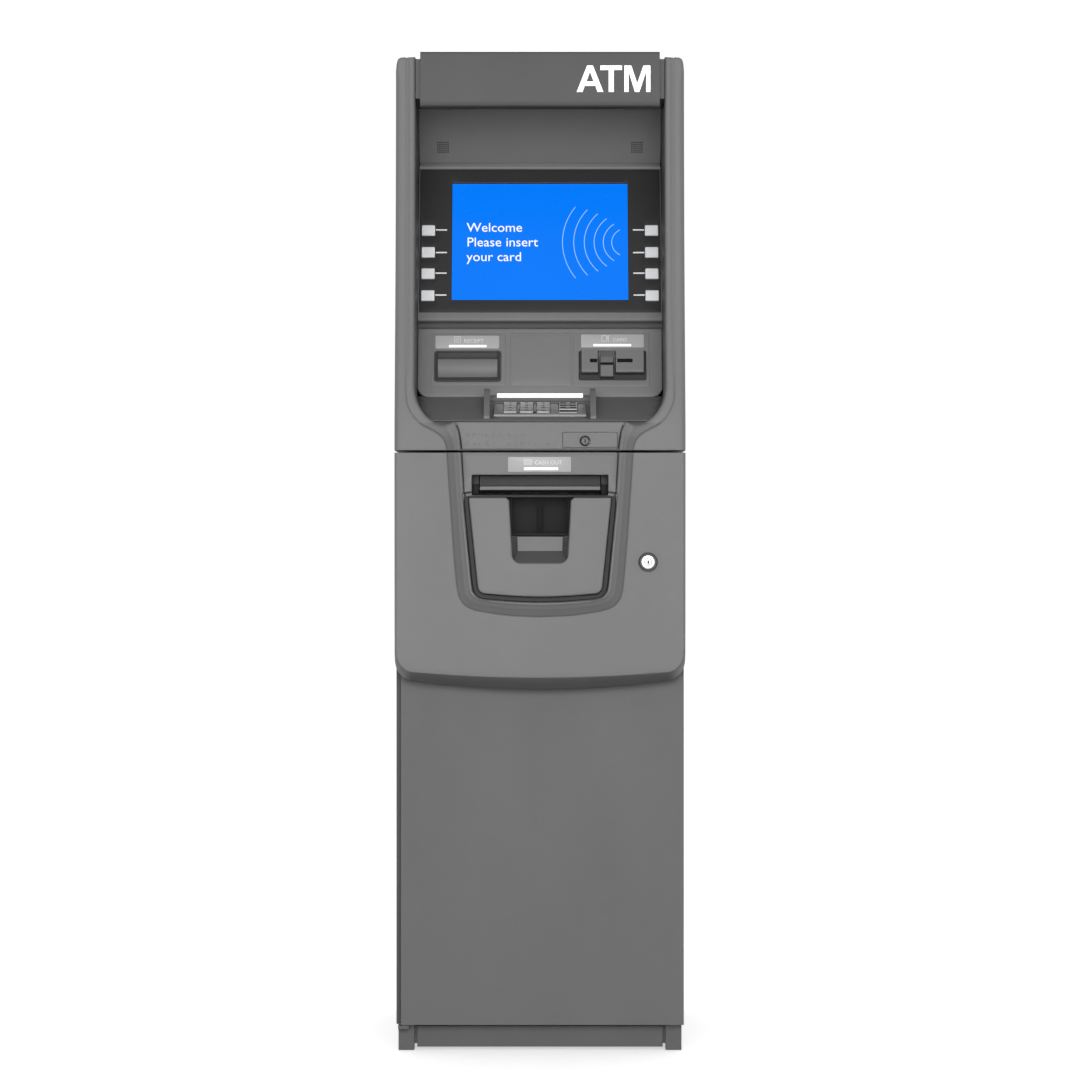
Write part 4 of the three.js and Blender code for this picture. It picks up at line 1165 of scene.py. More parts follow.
def letter(name, outline, holes, x, z, h, w, mat="white_lit"):
    o = [(x + a * w, z + b * h) for a, b in outline]
    hs = [[(x + a * w, z + b * h) for a, b in q] for q in holes]
    vv, dd, tt, bb = relief(o, hs, [], lambda a, b: 0 * a + Y(59.45), 30.0, 5.0)
    V, F = [(a, q, b) for (a, b), q in zip(vv, dd)], [tuple(q) for q in tt]
    nb = {}
    for a, b in bb:
        for j in (a, b):
            if j not in nb:
                nb[j] = len(V)
                V.append((vv[j][0], Y(60.0), vv[j][1]))
        F.append((b, a, nb[a], nb[b]))
    return make(name, V, F, mat, "upper_door", angle=30)


LH, LZ = 36.6, 1330.6
letter("letter_A", [(0, 0), (0.215, 0), (0.295, 0.23), (0.70, 0.23), (0.785, 0), (1, 0), (0.605, 1), (0.39, 1)], [[(0.36, 0.395), (0.497, 0.77), (0.635, 0.395)]], 50.9, LZ, LH, 36.9)
letter("letter_T", [(0.385, 0), (0.62, 0), (0.62, 0.83), (1, 0.83), (1, 1), (0, 1), (0, 0.83), (0.385, 0.83)], [], 83.6, LZ, LH, 30.0)
letter("letter_M", [(0, 0), (0.16, 0), (0.16, 0.79), (0.405, 0), (0.575, 0), (0.84, 0.79), (0.84, 0), (1, 0), (1, 1), (0.735, 1), (0.495, 0.325), (0.265, 1), (0, 1)], [], 116.9, LZ, LH, 36.0)

# ------------------------------------------------------------------ service panel and its modules
SP_OUT = rounded([(-172.3, 0.6, 16), (172.3, 0.6, 16), (172.3, 105.7), (-172.3, 105.7)], 8)
R_HOLE = rrect(-149.2, -54.8, 23.8, 71.2, 4.2, 5)
C_HOLE = rrect(54.8, 149.7, 26.2, 71.2, 3.2, 5)
seams = [rrect(-152.5, -48.5, 18.0, 98.6, 1.0, 2), rrect(-41.5, 44.5, 18.0, 99.2, 1.0, 2), rrect(47.6, 154.5, 16.4, 98.6, 1.0, 2)]


def f_service(x, z):
    t = pdist(x, z, SP_OUT, True)
    d = 0.2 + round_over(t, 1.4)
    for h in (R_HOLE, C_HOLE):
        d = d + round_over(pdist(x, z, h, True), 1.0)
    for s in seams:
        d = d + 0.4 * np.exp(-(pdist(x, z, s, True) / 0.42) ** 2)
    return d


rr = [(grow(SP_OUT, -w), True) for w in (0.15, 0.5, 1.4)] + [(grow(h, w), True) for h in (R_HOLE, C_HOLE) for w in (0.12, 0.4, 1.0)]
for s in seams:
    rr += [(grow(s, w), True) for w in (-0.9, -0.45, 0, 0.45, 0.9)]
vv, dd, tt, bb = relief(SP_OUT, [R_HOLE, C_HOLE], rr, f_service, 12.0, 2.5)
V, F = [(x, q, z) for (x, z), q in zip(vv, dd)], [tuple(q) for q in tt]
nb = {}
for a, b in bb:
    for j in (a, b):
        if j not in nb:
            nb[j] = len(V)
            V.append((vv[j][0], 2.9, vv[j][1]))
    F.append((b, a, nb[a], nb[b]))
make("service_panel_skin", V, F, "panel", "upper_door", PANEL, replaces="service_panel", slot="grey_plastic", angle=35)


def label(name, x0, x1, z0, z1, y, words, bar, tx, icon, frame_m, body, tsize=6.3):
    prism(name, rrect(x0, x1, z0, z1, 1.6, 4), y - 0.7, y + 0.3, "label", body, frame_m, bevel=0.35)
    rbox(name + "_bar", bar[0], bar[1], y - 0.86, y - 0.6, bar[2], bar[3], "white_lit", body, frame_m, bevel=0.0)
    text(name + "_words", words, tsize, tx[0], y - 0.78, tx[1], "white", body, frame_m, 0.2, bold=0.12)
    if icon:
        V, F = [], []
        for poly in icon:
            i0 = len(V)
            n = len(poly)
            V += [(a, y - 0.86, b) for a, b in poly] + [(a, y - 0.66, b) for a, b in poly]
            F.append(tuple(range(i0, i0 + n)))
            F.append(tuple(range(i0 + 2 * n - 1, i0 + n - 1, -1)))
            F += [(i0 + k, i0 + (k + 1) % n, i0 + n + (k + 1) % n, i0 + n + k) for k in range(n)]
        make(name + "_icon", V, F, "white", body, frame_m)


def bar_poly(x0, z0, x1, z1, w):
    a, b = Vector((x0, z0)), Vector((x1, z1))
    n = (b - a).normalized()
    n = Vector((-n.y, n.x)) * w / 2
    return [tuple(a + n), tuple(a - n), tuple(b - n), tuple(b + n)]


def frame_poly(x0, x1, z0, z1, w):
    return [bar_poly(x0, z0 + w / 2, x1, z0 + w / 2, w), bar_poly(x0, z1 - w / 2, x1, z1 - w / 2, w), bar_poly(x0 + w / 2, z0 + w, x0 + w / 2, z1 - w, w), bar_poly(x1 - w / 2, z0 + w, x1 - w / 2, z1 - w, w)]


label("label_receipt", -147.6, -57.6, 74.2, 93.6, 0.1, "RECEIPT", (-128.4, -75.6, 75.9, 79.2), (-107.5, 83.0), frame_poly(-121, -112, 83.2, 92.6, 0.8) + [bar_poly(-119.3, 90, -113.7, 90, 0.7), bar_poly(-119.3, 88, -113.7, 88, 0.7), bar_poly(-119.3, 86, -115.5, 86, 0.7)], PANEL, "upper_door", 7.6)
label("label_card", 58.0, 146.6, 75.6, 95.6, 0.1, "CARD", (75.4, 128.6, 77.4, 80.6), (103.0, 85.0), frame_poly(87.0, 94.5, 84.6, 94.0, 0.8) + [bar_poly(95.5, 86.5, 95.5, 92.5, 0.8), bar_poly(96.8, 84.6, 96.8, 94.0, 0.9), bar_poly(95.5, 92.4, 98.4, 94.0, 0.8)], PANEL, "upper_door", 7.2)
label("label_cash", LABEL_CASH[0], LABEL_CASH[1], LABEL_CASH[2], LABEL_CASH[3], Y(3.0), "CASH OUT", (-21.8, 24.6, 806.0, 809.2), (-7.5, 813.6), frame_poly(-22, -12, 814.2, 820.6, 0.8) + frame_poly(-20, -14, 816, 818.8, 0.7) + [bar_poly(-22, 813.2, -11, 813.2, 0.7), bar_poly(-11.2, 813.2, -11.2, 819.6, 0.7)], WORLD, "lower_door", 7.6)

# receipt module: rounded mouth with a curved lower body


def sweep_x(name, prof, x0, x1, mat, body, frame_m, caps=True, nx=1, **kw):
    """open profile [(y, z)] pulled along x"""
    V, F = [], []
    xs = np.linspace(x0, x1, nx + 1)
    for x in xs:
        V += [(x, a, b) for a, b in prof]
    n = len(prof)
    for i in range(nx):
        for k in range(n - 1):
            a = i * n + k
            F.append((a, a + n, a + n + 1, a + 1))
    if caps:
        F.append(tuple(range(n)))
        F.append(tuple(range((nx + 1) * n - 1, nx * n - 1, -1)))
    return make(name, V, F, mat, body, frame_m, **kw)


def tube_frame(name, outline, y0, y1, t, mat, body, frame_m, edge=0.8, **kw):
    """a short rounded-rectangle tube: outer wall, rounded front rim, inner wall"""
    V, F = [], []
    n = len(outline)
    prof = [(0, y1), (0, y0 + edge)] + [(edge - edge * math.cos(a), y0 + edge - edge * math.sin(a)) for a in (0.5, 1.1)] + [(edge, y0), (t - edge, y0)] + [(t - edge + edge * math.sin(a), y0 + edge - edge * math.cos(a)) for a in (0.5, 1.1)] + [(t, y0 + edge), (t, y1)]
    for w, yy in prof:
        V += [(a, yy, b) for a, b in grow(outline, -w)]
    for k in range(len(prof) - 1):
        for i in range(n):
            F.append((k * n + i, k * n + (i + 1) % n, (k + 1) * n + (i + 1) % n, (k + 1) * n + i))
    return make(name, V, F, mat, body, frame_m, **kw)


refine("receipt_printer", "bezel", 1.0, 2)
# receipt bezel in the dark recess grey: painted shade in the mouth
tube_frame("receipt_bezel", grow(R_HOLE, -0.25), -0.3, 14.0, 1.4, "recess_shade", "upper_door", PANEL, 0.5, slot="grey_plastic")
lip = [(9.4, 60.2), (4.4, 60.1), (2.7, 59.5), (1.8, 58.4), (1.4, 57.0), (1.1, 54.0), (1.2, 50.0), (2.2, 45.0), (4.4, 40.0), (8.0, 35.0), (12.5, 30.0), (15.5, 27.4)]
sweep_x("receipt_chute", lip, -146.2, -57.8, "grey", "upper_door", PANEL, caps=False, slot="grey_plastic", angle=50)
sweep_x("receipt_slot_shadow", [(9.4, 62.8), (9.4, 60.0), (8.4, 59.9)], -146.0, -58.0, "gap", "upper_door", PANEL, caps=False)
# hood in the dark recess grey: painted shade
sweep_x("receipt_hood", [(0.9, 69.0), (4.0, 66.0), (7.6, 62.6), (9.0, 61.9)], -146.2, -57.8, "recess_shade", "upper_door", PANEL, caps=False, slot="grey_plastic")


# card module: two guide blocks with a thumb scoop between them
def slab(name, outline, holes, rr, f, back, mat, body, frame_m, closed=True, hole_back=None, spacing=9.0, keep=2.0, **kw):
    """relief with straight walls back to y = back; closed adds the flat rear face"""
    vv, dd, tt, bb = relief(outline, holes, rr, f, spacing, keep)
    V, F = [(x, q, z) for (x, z), q in zip(vv, dd)], [tuple(int(i) for i in q) for q in tt]
    rear = {}
    if closed:
        for i, (x, z) in enumerate(vv):
            rear[i] = len(V)
            V.append((x, back, z))
        F += [(rear[int(a)], rear[int(c)], rear[int(b)]) for a, b, c in tt]
    for a, b in bb:
        for j in (a, b):
            if j not in rear:
                x, z = vv[j]
                deep = back
                if hole_back is not None and any(abs(pdist(np.array([x]), np.array([z]), h, True)[0]) < 1e-3 for h in holes):
                    deep = hole_back
                rear[j] = len(V)
                V.append((x, deep, z))
        F.append((b, a, rear[a], rear[b]))
    return make(name, V, F, mat, body, frame_m, **kw)


CB = rrect(55.5, 149.0, 27.0, 70.5, 3.0, 4)
BL = rrect(57.6, 82.4, 34.6, 69.6, 1.0, 3)
BR = rrect(105.8, 146.9, 34.6, 69.6, 1.0, 3)
TH = rrect(84.2, 104.0, 28.6, 69.6, 1.0, 3)
SL = rrect(70.4, 80.6, 49.6, 55.2, 0.6, 2)
SR = rrect(108.4, 130.4, 49.6, 55.2, 0.6, 2)
ST = rrect(85.4, 102.8, 46.4, 50.4, 0.4, 2)


def band(x, z, poly, e=0.8):
    t = pdist(x, z, poly, True)
    return np.where(inside(x, z, poly), sstep(0, e, t), 0)


def f_card(x, z):
    d = np.full(len(x), 1.6)
    for poly in (BL, BR):
        w = band(x, z, poly, 1.1)
        low = sstep(34.6, 38.2, z)
        top = -8.4 + 1.2 * (1 - low)
        d = d * (1 - w) + top * w
    w = band(x, z, TH, 1.1)
    u = np.clip((z - 51.2) / 18.0, 0, 1)
    top = np.where(z > 51.2, -6.2 + 6.8 * u ** 1.5, -6.6)
    d = d * (1 - w) + top * w
    # throat between the blocks
    mid = (x > 76) & (x < 112)
    return np.where(mid & (d > 1.0), 1.6, d)


crings = [(grow(p, -w), True) for p in (BL, BR, TH) for w in (0.02, 0.35, 0.75, 1.1, 1.6)]
crings += [([(x, z) for x in np.linspace(58.8, 81.2, 8)], False) for z in (36, 37.2, 38.4)]
crings += [([(x, z) for x in np.linspace(107, 145.8, 10)], False) for z in (36, 37.2, 38.4)]
crings += [([(x, z) for x in np.linspace(85.6, 102.6, 8)], False) for z in (51.4, 54, 57, 60, 63, 66)]
slab("card_bezel", CB, [SL, SR, ST], crings, f_card, 12.0, "grey", "upper_door", PANEL, closed=False, hole_back=9.0, spacing=5.0, keep=1.2, replaces="card_reader", slot="grey_plastic", angle=35)
# painted shade on the card bezel: dark groove grey on the recessed faces, darker fascia grey on the top of the thumb
# scoop
second_mat(bpy.data.objects["card_bezel"], "groove_shade", lambda c, n: c.y > -5.0 and not (83 < c.x < 105 and c.z > 51), PANEL)
second_mat(bpy.data.objects["card_bezel"], "grey_shade", lambda c, n: 84 < c.x < 104.2 and c.z > 60, PANEL)
# near-black boxes in the card slots: painted shadow
for i, (x0, x1, z0, z1) in enumerate(((69.0, 82.0, 49.0, 56.0), (107.0, 132.0, 49.0, 56.0), (84.8, 103.4, 45.8, 51.2))):
    rbox(f"card_slot_dark_{i + 1}", x0, x1, -3.5 if i < 2 else -3.2, 8.0, z0, z1, "gap", "upper_door", PANEL, bevel=0.3)
rbox("card_reader_body", 62.3, 145.7, 12.5, 119.6, 20.3, 75.7, "sheet", "upper_door", PANEL, bevel=1.0, replaces="card_reader", slot="module_metal")
rbox("card_reader_board", 66, 142, 30, 112, 75.9, 77.4, "green", "upper_door", PANEL, bevel=0.2)
for i in range(4):
    rbox(f"card_reader_chip_{i + 1}", 72 + 17 * i, 83 + 17 * i, 44, 57, 77.4, 79.6, "ink", "upper_door", PANEL, bevel=0.3)
    screw(f"card_reader_screw_{i + 1}", 68 if i % 2 else 140, 34 if i < 2 else 108, 77.4, 2.2, "upper_door", "zinc", PANEL, "Z", 1, 1.4)
rbox("card_reader_socket", 88, 118, 119.7, 125, 40, 52, "ink", "upper_door", PANEL, bevel=0.5)

# printer body and its paper
refine("paper_roll", "paper", 0.6, 2)
lathe("paper_roll_core", [(11.8, -40.2), (8.6, -40.2), (8.6, 40.2), (11.8, 40.2), (11.8, -40.2)], "label", "paper_roll", (-101, 122, 100), "X", 40, PANEL)
for k, rr0 in enumerate((18, 24, 30, 35)):
    lathe(f"paper_wrap_{k + 1}", [(rr0, -40.12), (rr0 + 0.25, -40.12), (rr0 + 0.25, -39.9), (rr0, -39.9), (rr0, -40.12)], "label", "paper_roll", (-101, 122, 100), "X", 48, PANEL)
pw = [(84.3, 96.0), (78.0, 84.0), (66.0, 70.0), (50.0, 61.6), (34.0, 61.0), (20.0, 61.2)]
sweep_x("paper_web", [(a, b) for a, b in pw] + [(a, b - 0.12) for a, b in pw[::-1]] + [pw[0]], -139.5, -62.5, "paper", "upper_door", PANEL, slot="paper", angle=60)
rbox("printer_board", -146, -56, 48, 104, 46.2, 47.6, "green", "upper_door", PANEL, bevel=0.2)
rbox("printer_head", -138, -64, 34, 46, 46.3, 56.5, "zinc", "upper_door", PANEL, bevel=0.8)

# ------------------------------------------------------------------ keypad
refine("pin_pad", "pad", 0.55, 2)
KEY_ROWS, KEY_COLS = [96, 77.4, 58.8, 40.2], [-41.5, -18.5, 4.5]
GLYPH = {"key_1": "1", "key_2": "2", "key_3": "3", "key_4": "4", "key_5": "5", "key_6": "6", "key_7": "7", "key_8": "8", "key_9": "9", "key_star": "*", "key_0": "0", "key_hash": "#"}
order = [["key_1", "key_2", "key_3"], ["key_4", "key_5", "key_6"], ["key_7", "key_8", "key_9"], ["key_star", "key_0", "key_hash"]]
for r, row in enumerate(order):
    for c, k in enumerate(row):
        refine(k, "key", 0.55, 3)
        text(k + "_digit", GLYPH[k], 10.5, KEY_COLS[c], KEY_ROWS[r] - 3.7, 7.42, "ink", k, PAD, 0.1, "CENTER", bold=0.22, lie=True)
for r, k in enumerate(("key_cancel", "key_clear", "key_enter")):
    refine(k, "key", 0.55, 3)
    y = KEY_ROWS[r]
    prism(k + "_cap", rrect(39 - 11.3, 39 + 11.3, y - 5.4, y + 5.4, 1.2, 4), 7.38, 7.62, "ink", k, PAD, axis="Z", bevel=0.1)
    text(k + "_mark", "X<O"[r], 7.2, 39, y - 2.6, 7.66, "white", k, PAD, 0.08, "CENTER", bold=0.15, lie=True)
prism("key_blank_cap", rrect(39 - 11.3, 39 + 11.3, 40.2 - 5.4, 40.2 + 5.4, 1.2, 4), 6.18, 6.42, "ink", "upper_door", PAD, axis="Z", bevel=0.1)
lathe("key_5_pip", [(0, 0.35), (0.5, 0.28), (0.85, 0.0)], "key", "key_5", (4.5 - 23 + 6.2, 77.4 - 4.6, 7.4), "Z", 14, PAD)
refine("privacy_shield", "grey", 2.9, 4)
bar_x("light_bar_lens", [(117.6, 5.3), (113.3, 5.3), (112.9, 7.6), (113.3, 9.0), (114.4, 9.7), (117.6, 9.7)], -60.0, 60.0, "lightbar", "upper_door", SHELF, replaces="light_bar", slot="white_plastic", angle=50)

# ------------------------------------------------------------------ plate and locks
PLATE = rrect(30.8, 106.2, 836.8, 857.7, 2.0, 4)
slab("lock_plate_skin", PLATE, [circle(61.7, 845.8, 7.2, 32)], [(grow(PLATE, -w), True) for w in (0.1, 0.35, 0.8)] + [(circle(61.7, 845.8, w, 32), True) for w in (7.4, 7.8, 8.4)], lambda x, z: Y(2.4) + round_over(pdist(x, z, PLATE, True), 0.8) + 0.5 * (1 - sstep(7.2, 8.3, np.hypot(x - 61.7, z - 845.8))), Y(10.2), "grey", "upper_door", WORLD, closed=False, replaces="lock_plate", slot="grey_plastic")


def keyed_lock(name, cx, cz, d0, depth, rings_r, node, body, mats, way):
    """cam lock face: turned rings and a keyway, with its barrel behind"""
    r0, r1, r2 = rings_r
    lathe(name + "_ring", [(r0, Y(d0 + 5)), (r0, Y(d0 + 0.7)), (r0 - 0.6, Y(d0 + 0.1)), (r1 + 0.5, Y(d0)), (r1, Y(d0 + 0.5)), (r1, Y(d0 + 2.2))], mats[0], body, (cx, 0, cz), "Y", 56, replaces=node)
    key = [(cx + a * way, cz + b * way) for a, b in ((-0.42, -1.35), (0.42, -1.35), (0.42, -0.5), (0.75, -0.5), (0.75, 0.35), (0.42, 0.35), (0.42, 1.35), (-0.42, 1.35), (-0.42, 0.2), (-0.75, 0.2), (-0.75, -0.2), (-0.42, -0.2))]
    disc_o = circle(cx, cz, r1 - 0.12, 44)
    slab(name + "_face", disc_o, [key], [(circle(cx, cz, w, 44), True) for w in (r1 - 0.3, r1 - 0.6, r2 + 0.45, r2, r2 - 0.45, r2 - 0.9)], lambda x, z: Y(d0 + 0.75) + round_over(r1 - 0.12 - np.hypot(x - cx, z - cz), 0.5) + 0.45 * np.exp(-((np.hypot(x - cx, z - cz) - r2) / 0.32) ** 2), Y(d0 + 4), mats[1], body, WORLD, closed=False, spacing=2.0, keep=0.7, slot="chromed")
    # near-black block behind the keyway: painted shadow
    rbox(name + "_way", cx - 2.2, cx + 2.2, Y(d0 + 2.6), Y(d0 + 3.4), cz - 2.2, cz + 2.2, "gap", body, bevel=0.1)
    lathe(name + "_barrel", [(r1 - 0.4, Y(d0 + 3.6)), (r1 - 0.4, Y(depth - 5)), (r1 - 1.4, Y(depth - 4.4)), (r1 - 1.4, Y(depth)), (0.01, Y(depth))], "zinc", body, (cx, 0, cz), "Y", 40, slot="pin_steel")


# the dark recess grey on both lock rings: painted shade of the gap round each lock face
keyed_lock("upper_lock", 61.7, 845.8, 2.9, 41.5, (6.15, 5.0, 3.2), "upper_lock", "upper_lock", ("recess_shade", "grey"), 1.6)
prism("upper_lock_cam", rrect(56.8, 84.8, 840.9, 850.7, 3.8, 4), Y(38.2), Y(40.8), "zinc", "upper_lock", bevel=0.5, replaces="upper_lock", slot="pin_steel")
keyed_lock("lower_lock", LOCK[0], LOCK[1], 2.2, 39.6, (12.1, 9.5, 4.6), "lower_lock", "lower_lock", ("recess_shade", "chrome_face"), 2.0)
lathe("lower_lock_ring_mark", [(5.1, Y(2.98)), (5.1, Y(2.86)), (4.3, Y(2.86)), (4.3, Y(2.98)), (5.1, Y(2.98))], "grey_light", "lower_lock", (LOCK[0], 0, LOCK[1]), "Y", 48)
prism("lower_lock_cam", rrect(142.2, 154.4, 650.2, 683.8, 4.6, 4), Y(36.2), Y(38.8), "zinc", "lower_lock", bevel=0.5, replaces="lower_lock", slot="pin_steel")

# raised reading dots on the ledge
dots = [(-101, "101110"), (-92, "110100"), (-83, "100110"), (-74, "111010"), (-65, "011100"), (-56, "100010"), (-44, "110110"), (-35, "101010"), (-26, "010110"), (-17, "111000"), (-8, "100100"), (1, "011010"), (10, "110010"), (19, "101100")]
bm = bmesh.new()
for row, z0 in enumerate((853.0, 842.5)):
    for i, (x0, bits) in enumerate(dots):
        bits = bits if row == 0 else bits[::-1]
        if (row == 0 and i > 8) or (row == 1 and i in (5, 11)):
            continue
        for j, b in enumerate(bits):
            if b == "1":
                cx, cz = x0 + (j // 3) * 2.5, z0 - (j % 3) * 2.5 + 2.5
                prev = None
                for rad, h in ((0.85, 0.05), (0.72, -0.22), (0.4, -0.4)):
                    ring = [bm.verts.new((cx + rad * math.cos(a * math.pi / 5), Y(3.15) + h, cz + rad * math.sin(a * math.pi / 5))) for a in range(10)]
                    if prev:
                        for k in range(10):
                            bm.faces.new((prev[k], prev[(k + 1) % 10], ring[(k + 1) % 10], ring[k]))
                    prev = ring
                bm.faces.new(prev)
place("reading_dots", mesh_from_bm("reading_dots", bm), "grey", "upper_door", angle=60)

# ------------------------------------------------------------------ cash mouth
shutter = sweep_x("cash_shutter_skin", [(Y(26.1), 798.2), (Y(26.1), 785.0), (Y(25.6), 784.3), (Y(23.0), 784.0), (Y(22.3), 783.4), (Y(22.1), 779.4), (Y(22.6), 778.7), (Y(27.2), 775.0), (Y(28.3), 775.2), (Y(28.3), 798.2), (Y(26.1), 798.2)], -82.8, 82.8, "grey", "cash_shutter", WORLD, replaces="cash_shutter", slot="grey_plastic", angle=35)
# the shutter's upper face gets the dark groove grey and its lower lip black: painted shade in the mouth
second_mat(shutter, "groove_shade", lambda c, n: c.z > 784.1)
second_mat(shutter, "black", lambda c, n: c.z < 778.9)
refine("note_guide", "black", 0.7, 2)
for s in (-1, 1):
    rbox(f"mouth_corner_{'l' if s < 0 else 'r'}", min(s * 84.2, s * 93.3), max(s * 84.2, s * 93.3), Y(24.0), Y(40.5), 772.3, 786.6, "black", "lower_door", bevel=0.6)
# dark fills at the mouth's upper corners: painted shade
for s in (-1, 1):
    rbox(f"mouth_fill_{'l' if s < 0 else 'r'}", min(s * 84.0, s * 93.3), max(s * 84.0, s * 93.3), Y(26.0), Y(28.0), 786.6, 799.0, "groove_shade", "lower_door", bevel=0.3)
# near-black strip on the pocket's guide rib: painted shadow
rbox("guide_rib_cover", -2.7, 2.7, Y(44.3), Y(44.9), 721.5, 757.0, "gap", "lower_door", bevel=0.1)
rbox("mouth_sill", -93.2, 93.2, Y(9.0), Y(40.5), 771.8, 772.5, "black", "lower_door", bevel=0.2)
for i in range(9):
    if abs(i - 4) > 1:
        rbox(f"mouth_brush_{i + 1}", -70 + i * 17.5 - 6, -70 + i * 17.5 + 6, Y(30.0), Y(40.0), 773.0, 774.2, "rubber", "lower_door", bevel=0.2)

# ------------------------------------------------------------------ safe, base and cabinets
refine("safe_body", "steel", 1.2, 2, second=("base", lambda c, n: c.z < 36.4))
# thin dark strip beside the safe door: painted shade of the recessed edge
rbox("safe_edge_shade_strip", -199.5, -193.3, Y(85.78), Y(86.2), 37.5, 818.8, "recess_shade", "cabinet", bevel=0.08)
refine("safe_door", "steel", 1.0, 2)
refine("base_frame", "base", 1.2, 2)
refine("kick_plate", "base", 0.5, 2)
refine("upper_cabinet", "steel", 0.7, 2)
refine("rear_panel", "steel", 0.7, 2)
refine("safe_hinge_pin", "zinc", 0.5, 2)
refine("upper_hinge_pin", "zinc", 0.5, 2)
refine("bolt_bar", "chrome", 0.9, 2)
refine("safe_handle", "chrome", 1.3, 3)
refine("lock_dial", "black", 1.0, 3)
refine("cash_dispenser", "sheet", 0.5, 2)
refine("cash_cassette", "black", 1.4, 3)
refine("control_computer", "sheet", 0.8, 2)
refine("fan_rotor", "black", 0.5, 2)

# dial graduations
V, F = [], []
for i in range(50):
    a = 2 * math.pi * i / 50
    L = 5.2 if i % 5 == 0 else 3.0
    r0, r1, h = 34.5 - L, 34.5, 0.32
    c, s = math.cos(a), math.sin(a)
    n = len(V)
    for yy in (Y(49.78), Y(50.05)):
        for r_, w in ((r0, -h), (r0, h), (r1, h), (r1, -h)):
            V.append((100 + r_ * c - w * s, yy, 700 + r_ * s + w * c))
    F += [(n, n + 1, n + 2, n + 3), (n + 7, n + 6, n + 5, n + 4), (n, n + 4, n + 5, n + 1), (n + 1, n + 5, n + 6, n + 2), (n + 2, n + 6, n + 7, n + 3), (n + 3, n + 7, n + 4, n)]
make("dial_marks", V, F, "white", "lock_dial")
# upper cabinet: rear screws, the mains inlet and the fan guard
for i, (x, z) in enumerate(((-157, 893), (157, 893), (-157, 1327), (157, 1327), (-157, 1110), (157, 1110))):
    screw(f"rear_screw_{i + 1}", x, Y(579.0), z, 3.6, "cabinet", "zinc", axis="Y", sign=1, h=0.95)
tube_frame("inlet_rim", [(-x, z) for x, z in rrect(93.0, 139.0, 926.0, 954.0, 3.0, 4)], Y(577.9), Y(570.0), 3.2, "black", "cabinet", WORLD, 0.6)
for i, (x, z) in enumerate(((-123.5, 936.5), (-108.5, 936.5), (-116.0, 944.5))):
    rbox(f"inlet_pin_{i + 1}", x - 1.1, x + 1.1, Y(571.5), Y(577.0), z - 2.4, z + 2.4, "chrome", "cabinet", bevel=0.4)
for rad in (12, 24, 36):
    lathe(f"fan_guard_{rad}", [(rad, 569.2), (rad + 1.0, 568.4), (rad, 567.6), (rad - 1.0, 568.4), (rad, 569.2)], "zinc", "cabinet", (65, -290, 1236), "Y", 40)
for k in range(2):
    a = k * math.pi / 2 + math.pi / 4
    bm = bmesh.new()
    c, s = math.cos(a), math.sin(a)
    L, w = 44.0, 0.9
    q = [(-L, -w), (L, -w), (L, w), (-L, w)]
    lo = [bm.verts.new((65 + u * c - t * s, Y(569.2), 1236 + u * s + t * c)) for u, t in q]
    hi = [bm.verts.new((65 + u * c - t * s, Y(570.8), 1236 + u * s + t * c)) for u, t in q]
    bm.faces.new(lo)
    bm.faces.new(hi[::-1])
    for i in range(4):
        bm.faces.new((lo[i], lo[(i + 1) % 4], hi[(i + 1) % 4], hi[i]))
    place(f"fan_guard_bar_{k + 1}", mesh_from_bm("bar", bm), "zinc", "cabinet")

# dispenser: feed rollers, belts, screws
lathe("pick_shaft", [(0.01, -128), (6.9, -127.4), (6.9, 127.4), (0.01, 128)], "zinc", "pick_roller", (0, Y(200), 660), "X", 28, replaces="pick_roller", slot="pin_steel")
for i, x in enumerate((-50, 50)):
    lathe(f"pick_tyre_{i + 1}", [(7.0, x - 9.8), (15.6, x - 9.8), (16.8, x - 8.4), (16.9, x), (16.8, x + 8.4), (15.6, x + 9.8), (7.0, x + 9.8)], "rubber", "pick_roller", (0, Y(200), 660), "X", 40, slot="roller_rubber")
gear = []
for i in range(36):
    a = 2 * math.pi * i / 36
    for k, rr0 in ((0.0, 19.4), (0.22, 19.6), (0.38, 21.8), (0.62, 21.8), (0.78, 19.6)):
        b = a + k * 2 * math.pi / 36
        gear.append((Y(200) + rr0 * math.cos(b), 660 + rr0 * math.sin(b)))
# the gear takes the same faintly glowing white: painted light
prism("pick_gear", gear, 112.3, 121.7, "white_glow", "pick_roller", axis="X", bevel=0.0)
for s in (-1, 1):
    for i, (d_, z) in enumerate(((150, 470), (150, 770), (350, 470), (350, 770), (530, 470), (530, 770), (150, 600), (530, 600))):
        screw(f"dispenser_screw_{'l' if s < 0 else 'r'}_{i + 1}", s * 140.1, Y(d_), z, 3.2, "cabinet", "zinc", axis="X", sign=s, h=1.6)
for i, x in enumerate((-60, -20, 20, 60)):
    rbox(f"transport_belt_{i + 1}", x - 5, x + 5, Y(104), Y(248), 776.2, 777.4, "rubber", "cabinet", bevel=0.3)
rbox("dispenser_board", -110, 110, Y(246.5), Y(249.8), 706, 766, "green", "cabinet", bevel=0.2)
for i in range(5):
    rbox(f"dispenser_chip_{i + 1}", -96 + i * 40, -76 + i * 40, Y(244.2), Y(246.5), 722, 740, "ink", "cabinet", bevel=0.3)
rbox("cassette_label", -60, 60, Y(141.2), Y(142.4), 474, 500, "label", "cabinet", bevel=0.3)
for i in range(7):
    rbox(f"cassette_rib_{i + 1}", -100 + i * 33 - 1.5, -100 + i * 33 + 1.5, Y(140.6), Y(142.2), 580, 597, "black", "cabinet", bevel=0.4)
